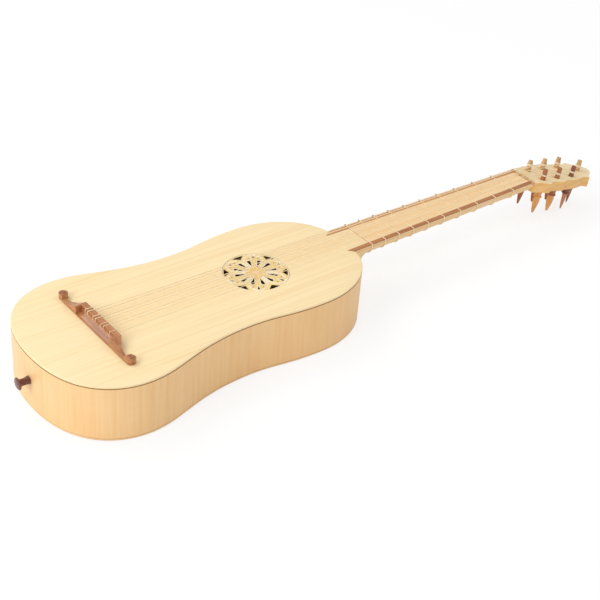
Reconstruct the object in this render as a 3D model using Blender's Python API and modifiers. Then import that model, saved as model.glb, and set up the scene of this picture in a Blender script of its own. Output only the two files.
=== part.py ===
"""A renaissance guitar with four courses, lying on its flat back.

Metres, +Z up. The neck points along +Y, the soundboard faces +Z and the treble side is +X. The origin is under
the middle of the whole guitar, at the level of the back's outer face. The pieces are modelled from the nut:
distances along the strings are measured from the edge of the nut towards the tail, so they are negative Y.
"""
import math

import bmesh
import bpy
import numpy as np
from mathutils import Matrix, Vector

# General
GAP = 0.0003                  # clearance between two pieces that touch
SCALE_LENGTH = 0.550          # nut to the front of the bridge

# Body outline: four stretches from the tail to the neck, each with its own length
TAIL_TO_LOWER = 0.0745
LOWER_TO_WAIST = 0.1239
WAIST_TO_UPPER = 0.0852
UPPER_TO_NECK = 0.0802
LOWER_HALF = 0.0919
WAIST_HALF = 0.0702
UPPER_HALF = 0.0778
TAIL_FULLNESS = 0.85          # how far each curve runs straight on, as a share of its stretch
LOWER_TAIL_FULLNESS = 0.34
LOWER_WAIST_FULLNESS = 0.30
WAIST_LOWER_FULLNESS = 0.53
WAIST_UPPER_FULLNESS = 0.37
UPPER_WAIST_FULLNESS = 0.50
UPPER_NECK_FULLNESS = 0.65
SHOULDER_FULLNESS = 0.36
OUTLINE_STEPS = 10            # straight pieces in each stretch of the outline

# Body walls
BODY_DEPTH = 0.0612
BOARD_THICKNESS = 0.0024      # soundboard, fingerboard and edge strips lie flush
BACK_THICKNESS = 0.0022
RIB_THICKNESS = 0.0016
LINING_WIDTH = 0.0035
LINING_HEIGHT = 0.0060
TAIL_BLOCK_HALF = 0.026
TAIL_BLOCK_THICKNESS = 0.014
NECK_BLOCK_HALF = 0.026
NECK_BLOCK_THICKNESS = 0.024

# Bars
BAR_THICKNESS = 0.006
TOP_BAR_HEIGHT = 0.012
BACK_BAR_HEIGHT = 0.008
BAR_END_HEIGHT = 0.003
BAR_END_SLOPE = 0.014
TOP_BAR_FROM_ROSE = (0.052, -0.052)
LOWER_TOP_BAR_FROM_TAIL = 0.125
BACK_BARS_FROM_TAIL = (0.080, 0.175, 0.285)

# Rose
ROSE_FROM_NUT = 0.3750
ROSE_RADIUS = 0.0337
ROSE_SINK = 0.0005            # depth of the rose's face below the soundboard's
ROSE_RIM_STEPS = 48
ROSE_RING_LAP = 0.0015        # how far the seat ring reaches under the rose
ROSE_RING_LAND = 0.0045       # how far it reaches under the soundboard
ROSE_RING_THICKNESS = 0.0015
ROSE_RING_STEPS = 32
LIGHT_INNER = 0.0080          # twelve long lights
LIGHT_OUTER = 0.0222
LIGHT_HALF = 0.0019
SLOT_INNER = 0.0235           # six short lights near the rim
SLOT_OUTER = 0.0305
SLOT_HALF = 0.0013
CORNER_INNER = 0.0262         # six three-cornered openings at the rim
CORNER_OUTER = 0.0322
CORNER_HALF_DEGREES = 11.5
TRACERY_FOLD = 6

# Neck
NECK_LENGTH = 0.2649          # nut to the body
NUT_HALF = 0.0170
HEEL_HALF = 0.0221
NUT_DEPTH = 0.0111            # wood under the fingerboard, at the nut
HEEL_DEPTH = 0.0126           # and where the heel begins
NECK_ROUNDNESS = 2.3          # 2 is an ellipse, more is squarer
SECTION_STEPS = 8
HEEL_LENGTH = 0.0198
HEEL_FOOT = 0.0070
HEEL_STEPS = 7
HEEL_KEEL = 1.12              # how much deeper than the body the heel's curve aims, so that its foot is flat
NAIL_RADIUS = 0.0018
NAIL_HEAD_RADIUS = 0.0042
NAIL_HEAD_THICKNESS = 0.0016
NAIL_IN_HEEL = 0.011
NAIL_HEIGHT = 0.036

# Fingerboard and frets
STRIP_WIDTH = 0.0050
STRIP_POINT = 0.0055
NUT_THICKNESS = 0.0035
NUT_PROUD = 0.0016
NUT_ROUNDING = 0.0018
NUT_ROUNDING_STEPS = 4
NUT_REST = 0.0009             # where the strings bend, from the nut's edge
FRET_COUNT = 10
FRET_RADIUS = 0.00045

# Head, on a plane that tilts down behind the nut; Y on it runs along the head
HEAD_TILT = math.radians(11.1)
HEAD_THICKNESS = 0.0120
HEAD_START_HALF = 0.0176
FIRST_CORNER = (0.0240, 0.0258)
FIRST_NOTCH = (0.0206, 0.0320)
SECOND_CORNER = (0.0226, 0.0505)
SECOND_NOTCH = (0.0204, 0.0565)
HEAD_WAIST = (0.0176, 0.0910)
THIRD_CORNER = (0.0208, 0.0990)
TIP_SHOULDER = (0.0098, 0.1122)
HEAD_LENGTH = 0.1188
HEAD_BULGES = (-0.0012, 0.0006, -0.0005, 0.0005, 0.0018, -0.0007, -0.0010, 0.0008)   # of the arcs between them
ARC_STEPS = 4

# Pegs; heights are above the head's face
PEG_SIDE = 0.0120
PEG_FIRST_ROW = 0.0240
PEG_ROW_PITCH = 0.0252
PEG_LAST = 0.0990
PEG_TOP = 0.0130
PEG_TOP_RADIUS = 0.0026
PEG_SHOULDER_RADIUS = 0.0033
PEG_DRUM_RADIUS = 0.0042
PEG_DRUM_REACH = 0.0080       # head's underside to the lower end of the drum
PEG_DRUM_EASE = 0.0009
PEG_COLLAR_RADIUS = 0.0049
PEG_COLLAR_LENGTH = 0.0026
PEG_LENGTH_BELOW = 0.0303     # head's underside to the tip of the handle
PEG_LEAF_HALF = 0.0042
PEG_LEAF_SHAPE = ((0.16, 1.0), (0.40, 0.86), (0.75, 0.55))   # shares of the leaf's length and half width
PEG_TIP_HALF = 0.0015
PEG_LEAF_FLATNESS = 0.42
PEG_SIDES = 12
HOLE_SIDES = 16
LIGHT_PEGS = ("2b", "1", "4b")

# Bridge; X from the middle, Y from the front edge towards the tail, Z from the soundboard
BRIDGE_BLOCK_HALF = 0.0315
BRIDGE_DEPTH = 0.0125
BRIDGE_HEIGHT = 0.0090
BRIDGE_ARM_REACH = 0.0605     # to the middle of the scroll
BRIDGE_ARM_WIDTH = 0.0042
BRIDGE_ARM_HEIGHT = 0.0028
SCROLL_RADIUS = 0.0046
SCROLL_HEIGHT = 0.0056
SCROLL_SIDES = 16
LEDGE_DEPTH = 0.0062
LEDGE_THICKNESS = 0.0026
HOLLOW_FLOOR = 0.0012
CHEEK = 0.0022
LEDGE_UNDERCUT = 0.0018       # how far the hollow reaches in under the ledge
HOLLOW_FOOT = 0.0015
HOLLOW_RISE = 0.0022
ARM_SWEEP = 2.4               # power of the curve from the block to the arm, seen from above
ARM_DROP = 2.2                # and seen from the tail
ARM_STEPS = 7
SCROLL_NOTCH = 0.0010         # thin place between the arm and its scroll
SCROLL_TURN = 0.93            # end of the scroll's round part, as a share of half a turn
CUT_PAST = 0.0010             # how far a cutter runs past what it cuts
STRING_HOLE_HEIGHT = 0.0052
STRING_HOLE_PLAY = 0.00035

# Strings: name, radius, place at the bridge, place at the nut
STRINGS = (
    ("4a", 0.00042, -0.0214, -0.01535),
    ("4b", 0.00042, -0.0170, -0.0124),
    ("3a", 0.00038, -0.0076, -0.0058),
    ("3b", 0.00038, -0.0032, -0.0029),
    ("2a", 0.00033, 0.0064, 0.0036),
    ("2b", 0.00033, 0.0108, 0.0065),
    ("1", 0.00028, 0.0214, 0.0140),
)
# Peg for each string: side, row (the fourth is the single peg at the tip), side of the shaft that the string
# meets, height of the winding, turn of the handle in degrees
PEGS = {
    "4a": (-1, 1, -1, 0.0046, 35),
    "4b": (-1, 0, 1, 0.0062, 80),
    "3a": (-1, 2, 1, 0.0046, 50),
    "3b": (0, 3, 1, 0.0046, 100),
    "2a": (1, 2, -1, 0.0046, 95),
    "2b": (1, 1, -1, 0.0046, 45),
    "1": (1, 0, -1, 0.0046, 60),
}
WINDING_TURNS = 2.5
WINDING_STEPS = 9             # points in one turn
WINDING_PITCH = 1.25          # as a multiple of the string's thickness

# End pin
PIN_STANDOUT = 0.0130
PIN_HEAD_RADIUS = 0.0063
PIN_HEAD_THICKNESS = 0.0030
PIN_WAIST_RADIUS = 0.0036
PIN_FLARE_RADIUS = 0.0042
PIN_SHANK_RADIUS = 0.0030
PIN_SHANK_LENGTH = 0.0130
PIN_FROM_TOP = 0.0295
PIN_SIDES = 16

# What follows from them
BODY_LENGTH = TAIL_TO_LOWER + LOWER_TO_WAIST + WAIST_TO_UPPER + UPPER_TO_NECK
TAIL_Y = -NECK_LENGTH - BODY_LENGTH
TOP_Z = BODY_DEPTH
UNDER_BOARD_Z = TOP_Z - BOARD_THICKNESS - GAP
OVER_BACK_Z = BACK_THICKNESS + GAP
ROSE_Y = -ROSE_FROM_NUT
RIB_INSIDE = RIB_THICKNESS + GAP
LINING_INSIDE = RIB_INSIDE + LINING_WIDTH + GAP
HEAD_REACH = HEAD_LENGTH * math.cos(HEAD_TILT)
HEAD_START = (NUT_THICKNESS + GAP) * math.cos(HEAD_TILT) + BOARD_THICKNESS * math.sin(HEAD_TILT)
REAR_REACH = -TAIL_Y + PIN_STANDOUT
NUT_Y = (REAR_REACH - HEAD_REACH) / 2
BRIDGE_FRONT_Y = -SCALE_LENGTH


def clear_scene():
    """Removes what the scene holds."""
    for item in list(bpy.data.objects):
        bpy.data.objects.remove(item, do_unlink=True)


def new_collection(name):
    """A collection linked to the scene."""
    made = bpy.data.collections.new(name)
    bpy.context.scene.collection.children.link(made)
    return made


def new_material(name, colour, roughness, metallic=0.0):
    """A plain Principled material."""
    made = bpy.data.materials.new(name)
    made.use_nodes = True
    shader = made.node_tree.nodes["Principled BSDF"]
    shader.inputs["Base Color"].default_value = (*colour, 1.0)
    shader.inputs["Roughness"].default_value = roughness
    shader.inputs["Metallic"].default_value = metallic
    made.diffuse_color = (*colour, 1.0)
    return made


clear_scene()
GUITAR = new_collection("renaissance_guitar")
CUTTERS = new_collection("cutters")

SPRUCE = new_material("spruce", (0.93, 0.78, 0.55), 0.45)
MAPLE = new_material("flamed_maple", (0.86, 0.66, 0.40), 0.42)
PALE_MAPLE = new_material("pale_maple", (0.92, 0.76, 0.54), 0.42)
PLUM = new_material("plum_wood", (0.50, 0.20, 0.09), 0.35)
DARK_PLUM = new_material("dark_plum_wood", (0.16, 0.035, 0.025), 0.32)
ROSE_WOOD = new_material("rose_pearwood", (0.90, 0.74, 0.46), 0.55)
INNER_WOOD = new_material("willow", (0.80, 0.64, 0.42), 0.65)
GUT = new_material("gut", (0.90, 0.80, 0.62), 0.38)
IRON = new_material("iron", (0.22, 0.20, 0.19), 0.50, 1.0)
PEG_WOODS = {
    "light": new_material("peg_light_plum", (0.72, 0.38, 0.14), 0.35),
    "red": new_material("peg_red_plum", (0.42, 0.12, 0.05), 0.35),
}


def make_frame(name, location, tilt, parent):
    """An empty that carries pieces measured from one place."""
    frame = bpy.data.objects.new(name, None)
    frame.location = location
    frame.rotation_euler = (tilt, 0.0, 0.0)
    frame.parent = parent
    GUITAR.objects.link(frame)
    return frame


NUT_FRAME = make_frame("nut_frame", (0.0, NUT_Y, 0.0), 0.0, None)
HEAD_FRAME = make_frame("head_frame", (0.0, 0.0, TOP_Z), -HEAD_TILT, NUT_FRAME)
bpy.context.view_layer.update()


def add_object(name, data, material, parent=NUT_FRAME, place=Matrix.Identity(4)):
    """Puts a mesh or curve into the guitar."""
    made = bpy.data.objects.new(name, data)
    GUITAR.objects.link(made)
    made.parent = parent
    made.matrix_basis = place
    if material is not None:
        made.data.materials.append(material)
    bpy.context.view_layer.update()
    return made


def as_mesh(curve_object):
    """Turns a curve object into a mesh object of the same name, place and material, with its caps welded."""
    evaluated = curve_object.evaluated_get(bpy.context.evaluated_depsgraph_get())
    mesh = bpy.data.meshes.new_from_object(evaluated)
    shape = bmesh.new()
    shape.from_mesh(mesh)
    bmesh.ops.remove_doubles(shape, verts=shape.verts, dist=0.000002)
    bmesh.ops.recalc_face_normals(shape, faces=shape.faces)
    shape.to_mesh(mesh)
    shape.free()
    name = curve_object.name
    parent = curve_object.parent
    world = curve_object.matrix_world.copy()
    bpy.data.objects.remove(curve_object, do_unlink=True)
    made = bpy.data.objects.new(name, mesh)
    GUITAR.objects.link(made)
    made.parent = parent
    made.matrix_world = world
    bpy.context.view_layer.update()
    return made


def slab(name, loops, low, high, material, parent=NUT_FRAME, place=Matrix.Identity(4)):
    """A flat piece between two levels: the first loop is its outline, the others are holes."""
    curve = bpy.data.curves.new(name, "CURVE")
    curve.dimensions = "2D"
    curve.fill_mode = "BOTH"
    curve.extrude = (high - low) / 2
    for loop in loops:
        spline = curve.splines.new("POLY")
        spline.points.add(len(loop) - 1)
        for point, (x, y) in zip(spline.points, loop):
            point.co = (x, y, 0.0, 1.0)
        spline.use_cyclic_u = True
    middle = Matrix.Translation((0.0, 0.0, (low + high) / 2))
    return as_mesh(add_object(name, curve, material, parent, place @ middle))


def tube(name, points, radius, material, parent=NUT_FRAME, closed=False, place=Matrix.Identity(4)):
    """A round wire along a list of points."""
    curve = bpy.data.curves.new(name, "CURVE")
    curve.dimensions = "3D"
    curve.bevel_depth = radius
    curve.bevel_resolution = 1
    curve.use_fill_caps = not closed
    spline = curve.splines.new("POLY")
    spline.points.add(len(points) - 1)
    for point, (x, y, z) in zip(spline.points, points):
        point.co = (x, y, z, 1.0)
    spline.use_cyclic_u = closed
    made = as_mesh(add_object(name, curve, material, parent, place))
    made.data.shade_smooth()
    made.data.set_sharp_from_angle(angle=math.radians(40))
    return made


def turned(name, profile, sides, material, parent=NUT_FRAME, place=Matrix.Identity(4)):
    """A turned piece about Z: the profile lists radius and height, from the top down."""
    mesh = bpy.data.meshes.new(name)
    corners = [(0.0, 0.0, profile[0][1])]
    corners += [(radius, 0.0, height) for radius, height in profile]
    corners += [(0.0, 0.0, profile[-1][1])]
    edges = [(i, i + 1) for i in range(len(corners) - 1)]
    mesh.from_pydata(corners, edges, [])
    made = add_object(name, mesh, material, parent, place)
    screw = made.modifiers.new("turned", "SCREW")
    screw.steps = sides
    screw.render_steps = sides
    screw.use_merge_vertices = True
    screw.merge_threshold = 0.000005
    screw.use_smooth_shade = True
    finished = bpy.data.meshes.new_from_object(made.evaluated_get(bpy.context.evaluated_depsgraph_get()))
    made.modifiers.clear()
    made.data = finished
    made.data.shade_smooth()
    made.data.set_sharp_from_angle(angle=math.radians(40))
    bpy.context.view_layer.update()
    return made


def as_cutter(piece):
    """Moves a finished shape to the cutters."""
    GUITAR.objects.unlink(piece)
    CUTTERS.objects.link(piece)
    piece.hide_render = True
    piece.display_type = "WIRE"
    return piece


def combine(piece, other, operation):
    """Cuts, joins or crosses a piece with another shape."""
    modifier = piece.modifiers.new(other.name, "BOOLEAN")
    modifier.operation = operation
    modifier.solver = "EXACT"
    modifier.object = other


def rod_cutter(name, radius_start, radius_end, length, place, parent=NUT_FRAME, sides=HOLE_SIDES):
    """A cutter for a round hole, tapered if its two radii differ."""
    profile = [(radius_end, length), (radius_start, 0.0)]
    half_side = Matrix.Rotation(math.pi / sides * 0.9, 4, "Z")
    return as_cutter(turned(name, profile, sides, None, parent, place @ half_side))


def bezier(start, start_handle, end_handle, end, steps):
    """Points of a cubic curve, without the last one."""
    share = np.linspace(0.0, 1.0, steps, endpoint=False)[:, None]
    rest = 1.0 - share
    corners = [np.array(p) for p in (start, start_handle, end_handle, end)]
    weights = (rest ** 3, 3 * rest ** 2 * share, 3 * rest * share ** 2, share ** 3)
    return sum(weight * corner for weight, corner in zip(weights, corners))


def body_half():
    """Treble half of the body's outline, from the middle of the tail to the side of the neck."""
    lower_y = TAIL_Y + TAIL_TO_LOWER
    waist_y = lower_y + LOWER_TO_WAIST
    upper_y = waist_y + WAIST_TO_UPPER
    joint_y = -NECK_LENGTH
    stretches = [
        ((0.0, TAIL_Y), (LOWER_HALF * TAIL_FULLNESS, TAIL_Y),
         (LOWER_HALF, lower_y - TAIL_TO_LOWER * LOWER_TAIL_FULLNESS), (LOWER_HALF, lower_y)),
        ((LOWER_HALF, lower_y), (LOWER_HALF, lower_y + LOWER_TO_WAIST * LOWER_WAIST_FULLNESS),
         (WAIST_HALF, waist_y - LOWER_TO_WAIST * WAIST_LOWER_FULLNESS), (WAIST_HALF, waist_y)),
        ((WAIST_HALF, waist_y), (WAIST_HALF, waist_y + WAIST_TO_UPPER * WAIST_UPPER_FULLNESS),
         (UPPER_HALF, upper_y - WAIST_TO_UPPER * UPPER_WAIST_FULLNESS), (UPPER_HALF, upper_y)),
        ((UPPER_HALF, upper_y), (UPPER_HALF, upper_y + UPPER_TO_NECK * UPPER_NECK_FULLNESS),
         (HEEL_HALF + (UPPER_HALF - HEEL_HALF) * SHOULDER_FULLNESS, joint_y), (HEEL_HALF, joint_y)),
    ]
    points = [bezier(*stretch, OUTLINE_STEPS) for stretch in stretches]
    return np.vstack(points + [[(HEEL_HALF, joint_y)]])


BODY_HALF = body_half()


def inset_half(inset):
    """The body's half outline moved inwards, with its ends kept on the middle line."""
    before = BODY_HALF[1:2] * (-1, 1)
    full = np.vstack([before, BODY_HALF, [(0.0, -NECK_LENGTH)]])
    run = np.diff(full, axis=0)
    run /= np.linalg.norm(run, axis=1)[:, None]
    normals = np.column_stack([-run[:, 1], run[:, 0]])
    corner = normals[:-1] + normals[1:]
    corner /= (corner * normals[1:]).sum(axis=1)[:, None]
    inner = BODY_HALF + corner * inset
    inner[0, 0] = 0.0
    return np.vstack([inner, [(0.0, -NECK_LENGTH - inset)]])


def half_width_at(y, inset):
    """Half the width inside the body at a place along it."""
    line = inset_half(inset)
    return float(np.interp(y, line[:, 1], line[:, 0]))


def mirrored(half):
    """A closed outline from its treble half, which starts and ends on the middle line or beside it."""
    other = [(-x, y) for x, y in reversed(half) if x > 0.000001]
    return [tuple(point) for point in half] + other


def circle(radius, steps, centre=(0.0, 0.0)):
    """Points of a circle."""
    turn = np.arange(steps) * 2 * math.pi / steps
    return [(centre[0] + radius * math.cos(a), centre[1] + radius * math.sin(a)) for a in turn]


def neck_half_at(y):
    """Half the width of the neck at a place along it."""
    return NUT_HALF + (HEEL_HALF - NUT_HALF) * (-y / NECK_LENGTH)


def neck_depth_at(y):
    """Depth of the neck's wood under the fingerboard, ahead of the heel."""
    return NUT_DEPTH + (HEEL_DEPTH - NUT_DEPTH) * (-y / (NECK_LENGTH - HEEL_LENGTH))


def strip_end_y(x):
    """Slanted line where the soundboard stops for an edge strip, from the corner of the heel inwards."""
    return -NECK_LENGTH - (HEEL_HALF - x) * STRIP_POINT / STRIP_WIDTH


def fret_distance(number):
    """Place of a fret from the nut, by the twelve-tone rule."""
    return SCALE_LENGTH * (1.0 - 2.0 ** (-number / 12.0))


def make_soundboard():
    """Soundboard with its tongue between the edge strips and the round sound hole."""
    tongue_end = -fret_distance(FRET_COUNT) - GAP
    notch_x = HEEL_HALF - STRIP_WIDTH - GAP
    half = [tuple(point) for point in BODY_HALF]
    half.append((notch_x, strip_end_y(notch_x)))
    half.append((neck_half_at(tongue_end) - STRIP_WIDTH - GAP, tongue_end))
    hole = circle(ROSE_RADIUS, ROSE_RIM_STEPS, (0.0, ROSE_Y))
    slab("soundboard", [mirrored(half), hole], TOP_Z - BOARD_THICKNESS, TOP_Z, SPRUCE)


def make_back():
    """Flat back."""
    half = [tuple(point) for point in BODY_HALF] + [(0.0, -NECK_LENGTH)]
    slab("back", [mirrored(half)], 0.0, BACK_THICKNESS, MAPLE)


def strip_between(outer_inset, inner_inset, side, low_x):
    """Outline of a wall that follows the body between two insets, from a distance off the middle line."""
    outer = inset_half(outer_inset)
    inner = inset_half(inner_inset)
    keep = outer[:, 0] > low_x
    first = int(np.argmax(keep))
    last = len(keep) - 1 - int(np.argmax(keep[::-1]))

    def clipped(line):
        cuts = []
        for inside, outside in ((first, first - 1), (last, last + 1)):
            share = (low_x - line[outside, 0]) / (line[inside, 0] - line[outside, 0])
            cuts.append(line[outside] + (line[inside] - line[outside]) * share)
        return np.vstack([cuts[:1], line[first:last + 1], cuts[1:]])

    loop = np.vstack([clipped(outer), clipped(inner)[::-1]])
    return [(side * x, y) for x, y in loop]


def make_ribs(pin_hole, nail_hole):
    """Two bent ribs that meet at the tail and under the heel."""
    for name, side in (("rib_bass", -1), ("rib_treble", 1)):
        outline = strip_between(0.0, RIB_THICKNESS, side, GAP / 2)
        rib = slab(name, [outline], OVER_BACK_Z, UNDER_BOARD_Z, MAPLE)
        combine(rib, pin_hole, "DIFFERENCE")
        combine(rib, nail_hole, "DIFFERENCE")


def make_linings():
    """Four linings that widen the ribs' glue faces, between the two blocks."""
    for side_name, side in (("bass", -1), ("treble", 1)):
        outline = strip_between(RIB_INSIDE, RIB_INSIDE + LINING_WIDTH, side, TAIL_BLOCK_HALF + GAP)
        slab("lining_top_" + side_name, [outline], UNDER_BOARD_Z - LINING_HEIGHT, UNDER_BOARD_Z, INNER_WOOD)
        slab("lining_back_" + side_name, [outline], OVER_BACK_Z, OVER_BACK_Z + LINING_HEIGHT, INNER_WOOD)


def make_blocks(pin_hole, nail_hole):
    """Blocks inside the tail and under the neck, shaped to the ribs."""
    inner = inset_half(RIB_INSIDE)
    tail_edge = [tuple(p) for p in inner[:len(inner) // 2] if p[0] < TAIL_BLOCK_HALF]
    tail_side_y = float(np.interp(TAIL_BLOCK_HALF, inner[:OUTLINE_STEPS, 0], inner[:OUTLINE_STEPS, 1]))
    tail_front = TAIL_Y + RIB_INSIDE + TAIL_BLOCK_THICKNESS
    tail_half = tail_edge + [(TAIL_BLOCK_HALF, tail_side_y), (TAIL_BLOCK_HALF, tail_front)]
    tail = slab("tail_block", [mirrored(tail_half)], OVER_BACK_Z, UNDER_BOARD_Z, INNER_WOOD)
    combine(tail, pin_hole, "DIFFERENCE")

    shoulder = inner[3 * OUTLINE_STEPS:][::-1]
    neck_edge = [tuple(p) for p in shoulder if p[0] < NECK_BLOCK_HALF]
    neck_side_y = float(np.interp(NECK_BLOCK_HALF, shoulder[:, 0], shoulder[:, 1]))
    neck_back = -NECK_LENGTH - RIB_INSIDE - NECK_BLOCK_THICKNESS
    neck_half = neck_edge + [(NECK_BLOCK_HALF, neck_side_y), (NECK_BLOCK_HALF, neck_back)]
    block = slab("neck_block", [mirrored(neck_half)], OVER_BACK_Z, UNDER_BOARD_Z, INNER_WOOD)
    combine(block, nail_hole, "DIFFERENCE")


def make_bar(name, y, height, low, high, upward):
    """A bar across the body, thinned towards its ends."""
    edges = (y - BAR_THICKNESS / 2, y + BAR_THICKNESS / 2)
    reach = min(half_width_at(edge, LINING_INSIDE) for edge in edges)
    sign = 1 if upward else -1
    base = low if upward else high
    deep = sign * height
    thin = sign * BAR_END_HEIGHT
    profile = [(-reach, 0.0), (reach, 0.0), (reach, thin), (reach - BAR_END_SLOPE, deep),
               (BAR_END_SLOPE - reach, deep), (-reach, thin)]
    stand = Matrix.Translation((0.0, y, base)) @ Matrix.Rotation(math.pi / 2, 4, "X")
    slab(name, [profile], -BAR_THICKNESS / 2, BAR_THICKNESS / 2, INNER_WOOD, place=stand)


def make_bars():
    """Bars that stiffen the soundboard and the back."""
    top_places = [ROSE_Y + offset for offset in TOP_BAR_FROM_ROSE]
    top_places.append(TAIL_Y + LOWER_TOP_BAR_FROM_TAIL)
    for name, y in zip(("top_bar_upper", "top_bar_waist", "top_bar_lower"), top_places):
        make_bar(name, y, TOP_BAR_HEIGHT, OVER_BACK_Z, UNDER_BOARD_Z, False)
    for name, from_tail in zip(("back_bar_lower", "back_bar_waist", "back_bar_upper"), BACK_BARS_FROM_TAIL):
        make_bar(name, TAIL_Y + from_tail, BACK_BAR_HEIGHT, OVER_BACK_Z, UNDER_BOARD_Z, True)


def polar(radius, degrees):
    """A point of the rose."""
    turn = math.radians(degrees)
    return (radius * math.cos(turn), ROSE_Y + radius * math.sin(turn))


def light(inner, outer, half, degrees):
    """A drop-shaped opening that points at the middle of the rose, with a round outer end."""
    turn = math.radians(degrees)
    along = np.array((math.cos(turn), math.sin(turn)))
    across = np.array((-along[1], along[0]))
    centre = outer - half
    shape = [(inner, 0.0)]
    shape += [(centre + half * math.sin(a), -half * math.cos(a)) for a in np.radians((0, 45, 90, 135, 180))]
    return [tuple(along * r + across * s + (0.0, ROSE_Y)) for r, s in shape]


def rose_openings():
    """Openings of the rose: twelve long lights in pairs, a short one over each pair, a corner between pairs."""
    openings = []
    step = 360 / TRACERY_FOLD
    for k in range(TRACERY_FOLD):
        middle = step * (k + 0.5)
        openings.append(light(LIGHT_INNER, LIGHT_OUTER, LIGHT_HALF, middle - step / 4))
        openings.append(light(LIGHT_INNER, LIGHT_OUTER, LIGHT_HALF, middle + step / 4))
        openings.append(light(SLOT_INNER, SLOT_OUTER, SLOT_HALF, middle))
        corner = [polar(CORNER_INNER, step * k)]
        corner += [polar(CORNER_OUTER, step * k + share * CORNER_HALF_DEGREES) for share in (-1, -0.33, 0.33, 1)]
        openings.append(corner)
    return openings


def make_rose():
    """Carved rose in the sound hole, and the ring under the soundboard that it sits on."""
    rim = circle(ROSE_RADIUS - GAP, ROSE_RIM_STEPS, (0.0, ROSE_Y))
    seat = TOP_Z - BOARD_THICKNESS
    slab("rosette", [rim] + rose_openings(), seat, TOP_Z - ROSE_SINK, ROSE_WOOD)
    outer = circle(ROSE_RADIUS + ROSE_RING_LAND, ROSE_RING_STEPS, (0.0, ROSE_Y))
    inner = circle(ROSE_RADIUS - ROSE_RING_LAP, ROSE_RING_STEPS, (0.0, ROSE_Y))
    slab("rose_seat_ring", [outer, inner], UNDER_BOARD_Z - ROSE_RING_THICKNESS, UNDER_BOARD_Z, INNER_WOOD)


def section_curve(half, depth):
    """Underside of the neck's section, from the treble edge to the bass edge, below the fingerboard."""
    turn = np.linspace(0.0, math.pi, 2 * SECTION_STEPS + 1)
    power = 2.0 / NECK_ROUNDNESS
    x = half * np.sign(np.cos(turn)) * np.abs(np.cos(turn)) ** power
    z = -depth * np.sin(turn) ** power
    z[0] = 0.0
    z[-1] = 0.0
    x[SECTION_STEPS] = 0.0
    return np.column_stack([x, z])


def neck_stations():
    """Places along the neck, with the half width and the depth of the wood at each."""
    full_depth = UNDER_BOARD_Z
    heel_start = -NECK_LENGTH + HEEL_LENGTH
    slope = math.tan(HEAD_TILT)
    end = (HEAD_START - GAP) / math.cos(HEAD_TILT) + (UNDER_BOARD_Z - TOP_Z) * slope
    yield end, NUT_HALF, NUT_DEPTH, slope
    yield heel_start, neck_half_at(heel_start), HEEL_DEPTH, 0.0
    for step in range(1, HEEL_STEPS + 1):
        turn = step / HEEL_STEPS * math.pi / 2
        y = heel_start - (HEEL_LENGTH - HEEL_FOOT) * math.sin(turn)
        depth = HEEL_DEPTH + (full_depth * HEEL_KEEL - HEEL_DEPTH) * (1.0 - math.cos(turn))
        yield y, neck_half_at(y), depth, 0.0
    foot_end = -NECK_LENGTH + GAP
    yield foot_end, neck_half_at(foot_end), full_depth * HEEL_KEEL, 0.0


def make_neck(nail_hole):
    """Neck and heel in one piece, lofted between its sections, with its end cut to the head's tilt."""
    shape = bmesh.new()
    rings = []
    for y, half, depth, shear in neck_stations():
        ring = []
        for x, z in section_curve(half, depth):
            z = max(z, -UNDER_BOARD_Z)
            ring.append(shape.verts.new((x, y + shear * z, UNDER_BOARD_Z + z)))
        rings.append(ring)
    for ahead, behind in zip(rings, rings[1:]):
        count = len(ahead)
        for i in range(count):
            j = (i + 1) % count
            shape.faces.new((ahead[i], behind[i], behind[j], ahead[j]))
    bmesh.ops.triangulate(shape, faces=shape.faces)
    shape.faces.new(rings[0])
    shape.faces.new(reversed(rings[-1]))
    bmesh.ops.recalc_face_normals(shape, faces=shape.faces)
    mesh = bpy.data.meshes.new("neck")
    shape.to_mesh(mesh)
    shape.free()
    neck = add_object("neck", mesh, PALE_MAPLE)
    combine(neck, nail_hole, "DIFFERENCE")


def make_fingerboard():
    """Fingerboard between the tongue and the nut, and the dark strips along its edges."""
    low = TOP_Z - BOARD_THICKNESS
    near = -GAP
    far = -fret_distance(FRET_COUNT)
    field = [(neck_half_at(far) - STRIP_WIDTH - GAP, far), (neck_half_at(near) - STRIP_WIDTH - GAP, near)]
    slab("fingerboard", [mirrored(field)], low, TOP_Z, PALE_MAPLE)
    clear = GAP * math.hypot(STRIP_WIDTH, STRIP_POINT) / STRIP_WIDTH
    point_x = HEEL_HALF - STRIP_WIDTH
    strip = [(neck_half_at(near), near), (neck_half_at(near) - STRIP_WIDTH, near),
             (point_x, strip_end_y(point_x) + clear), (HEEL_HALF, strip_end_y(HEEL_HALF) + clear)]
    for name, side in (("edge_strip_bass", -1), ("edge_strip_treble", 1)):
        slab(name, [[(side * x, y) for x, y in strip]], low, TOP_Z, PLUM)


def make_nut():
    """Nut, rounded on the side of the head."""
    base = TOP_Z - BOARD_THICKNESS
    height = BOARD_THICKNESS + NUT_PROUD
    profile = [(0.0, 0.0), (NUT_THICKNESS, 0.0)]
    for turn in np.linspace(0.0, math.pi / 2, NUT_ROUNDING_STEPS + 1):
        back = NUT_ROUNDING * (1.0 - math.cos(turn))
        down = NUT_ROUNDING * (1.0 - math.sin(turn))
        profile.append((NUT_THICKNESS - back, height - down))
    profile.append((0.0, height))
    across = Matrix.Rotation(math.pi / 2, 4, "Z") @ Matrix.Rotation(math.pi / 2, 4, "X")
    slab("nut", [profile], -NUT_HALF, NUT_HALF, PLUM, place=Matrix.Translation((0.0, 0.0, base)) @ across)


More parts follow.
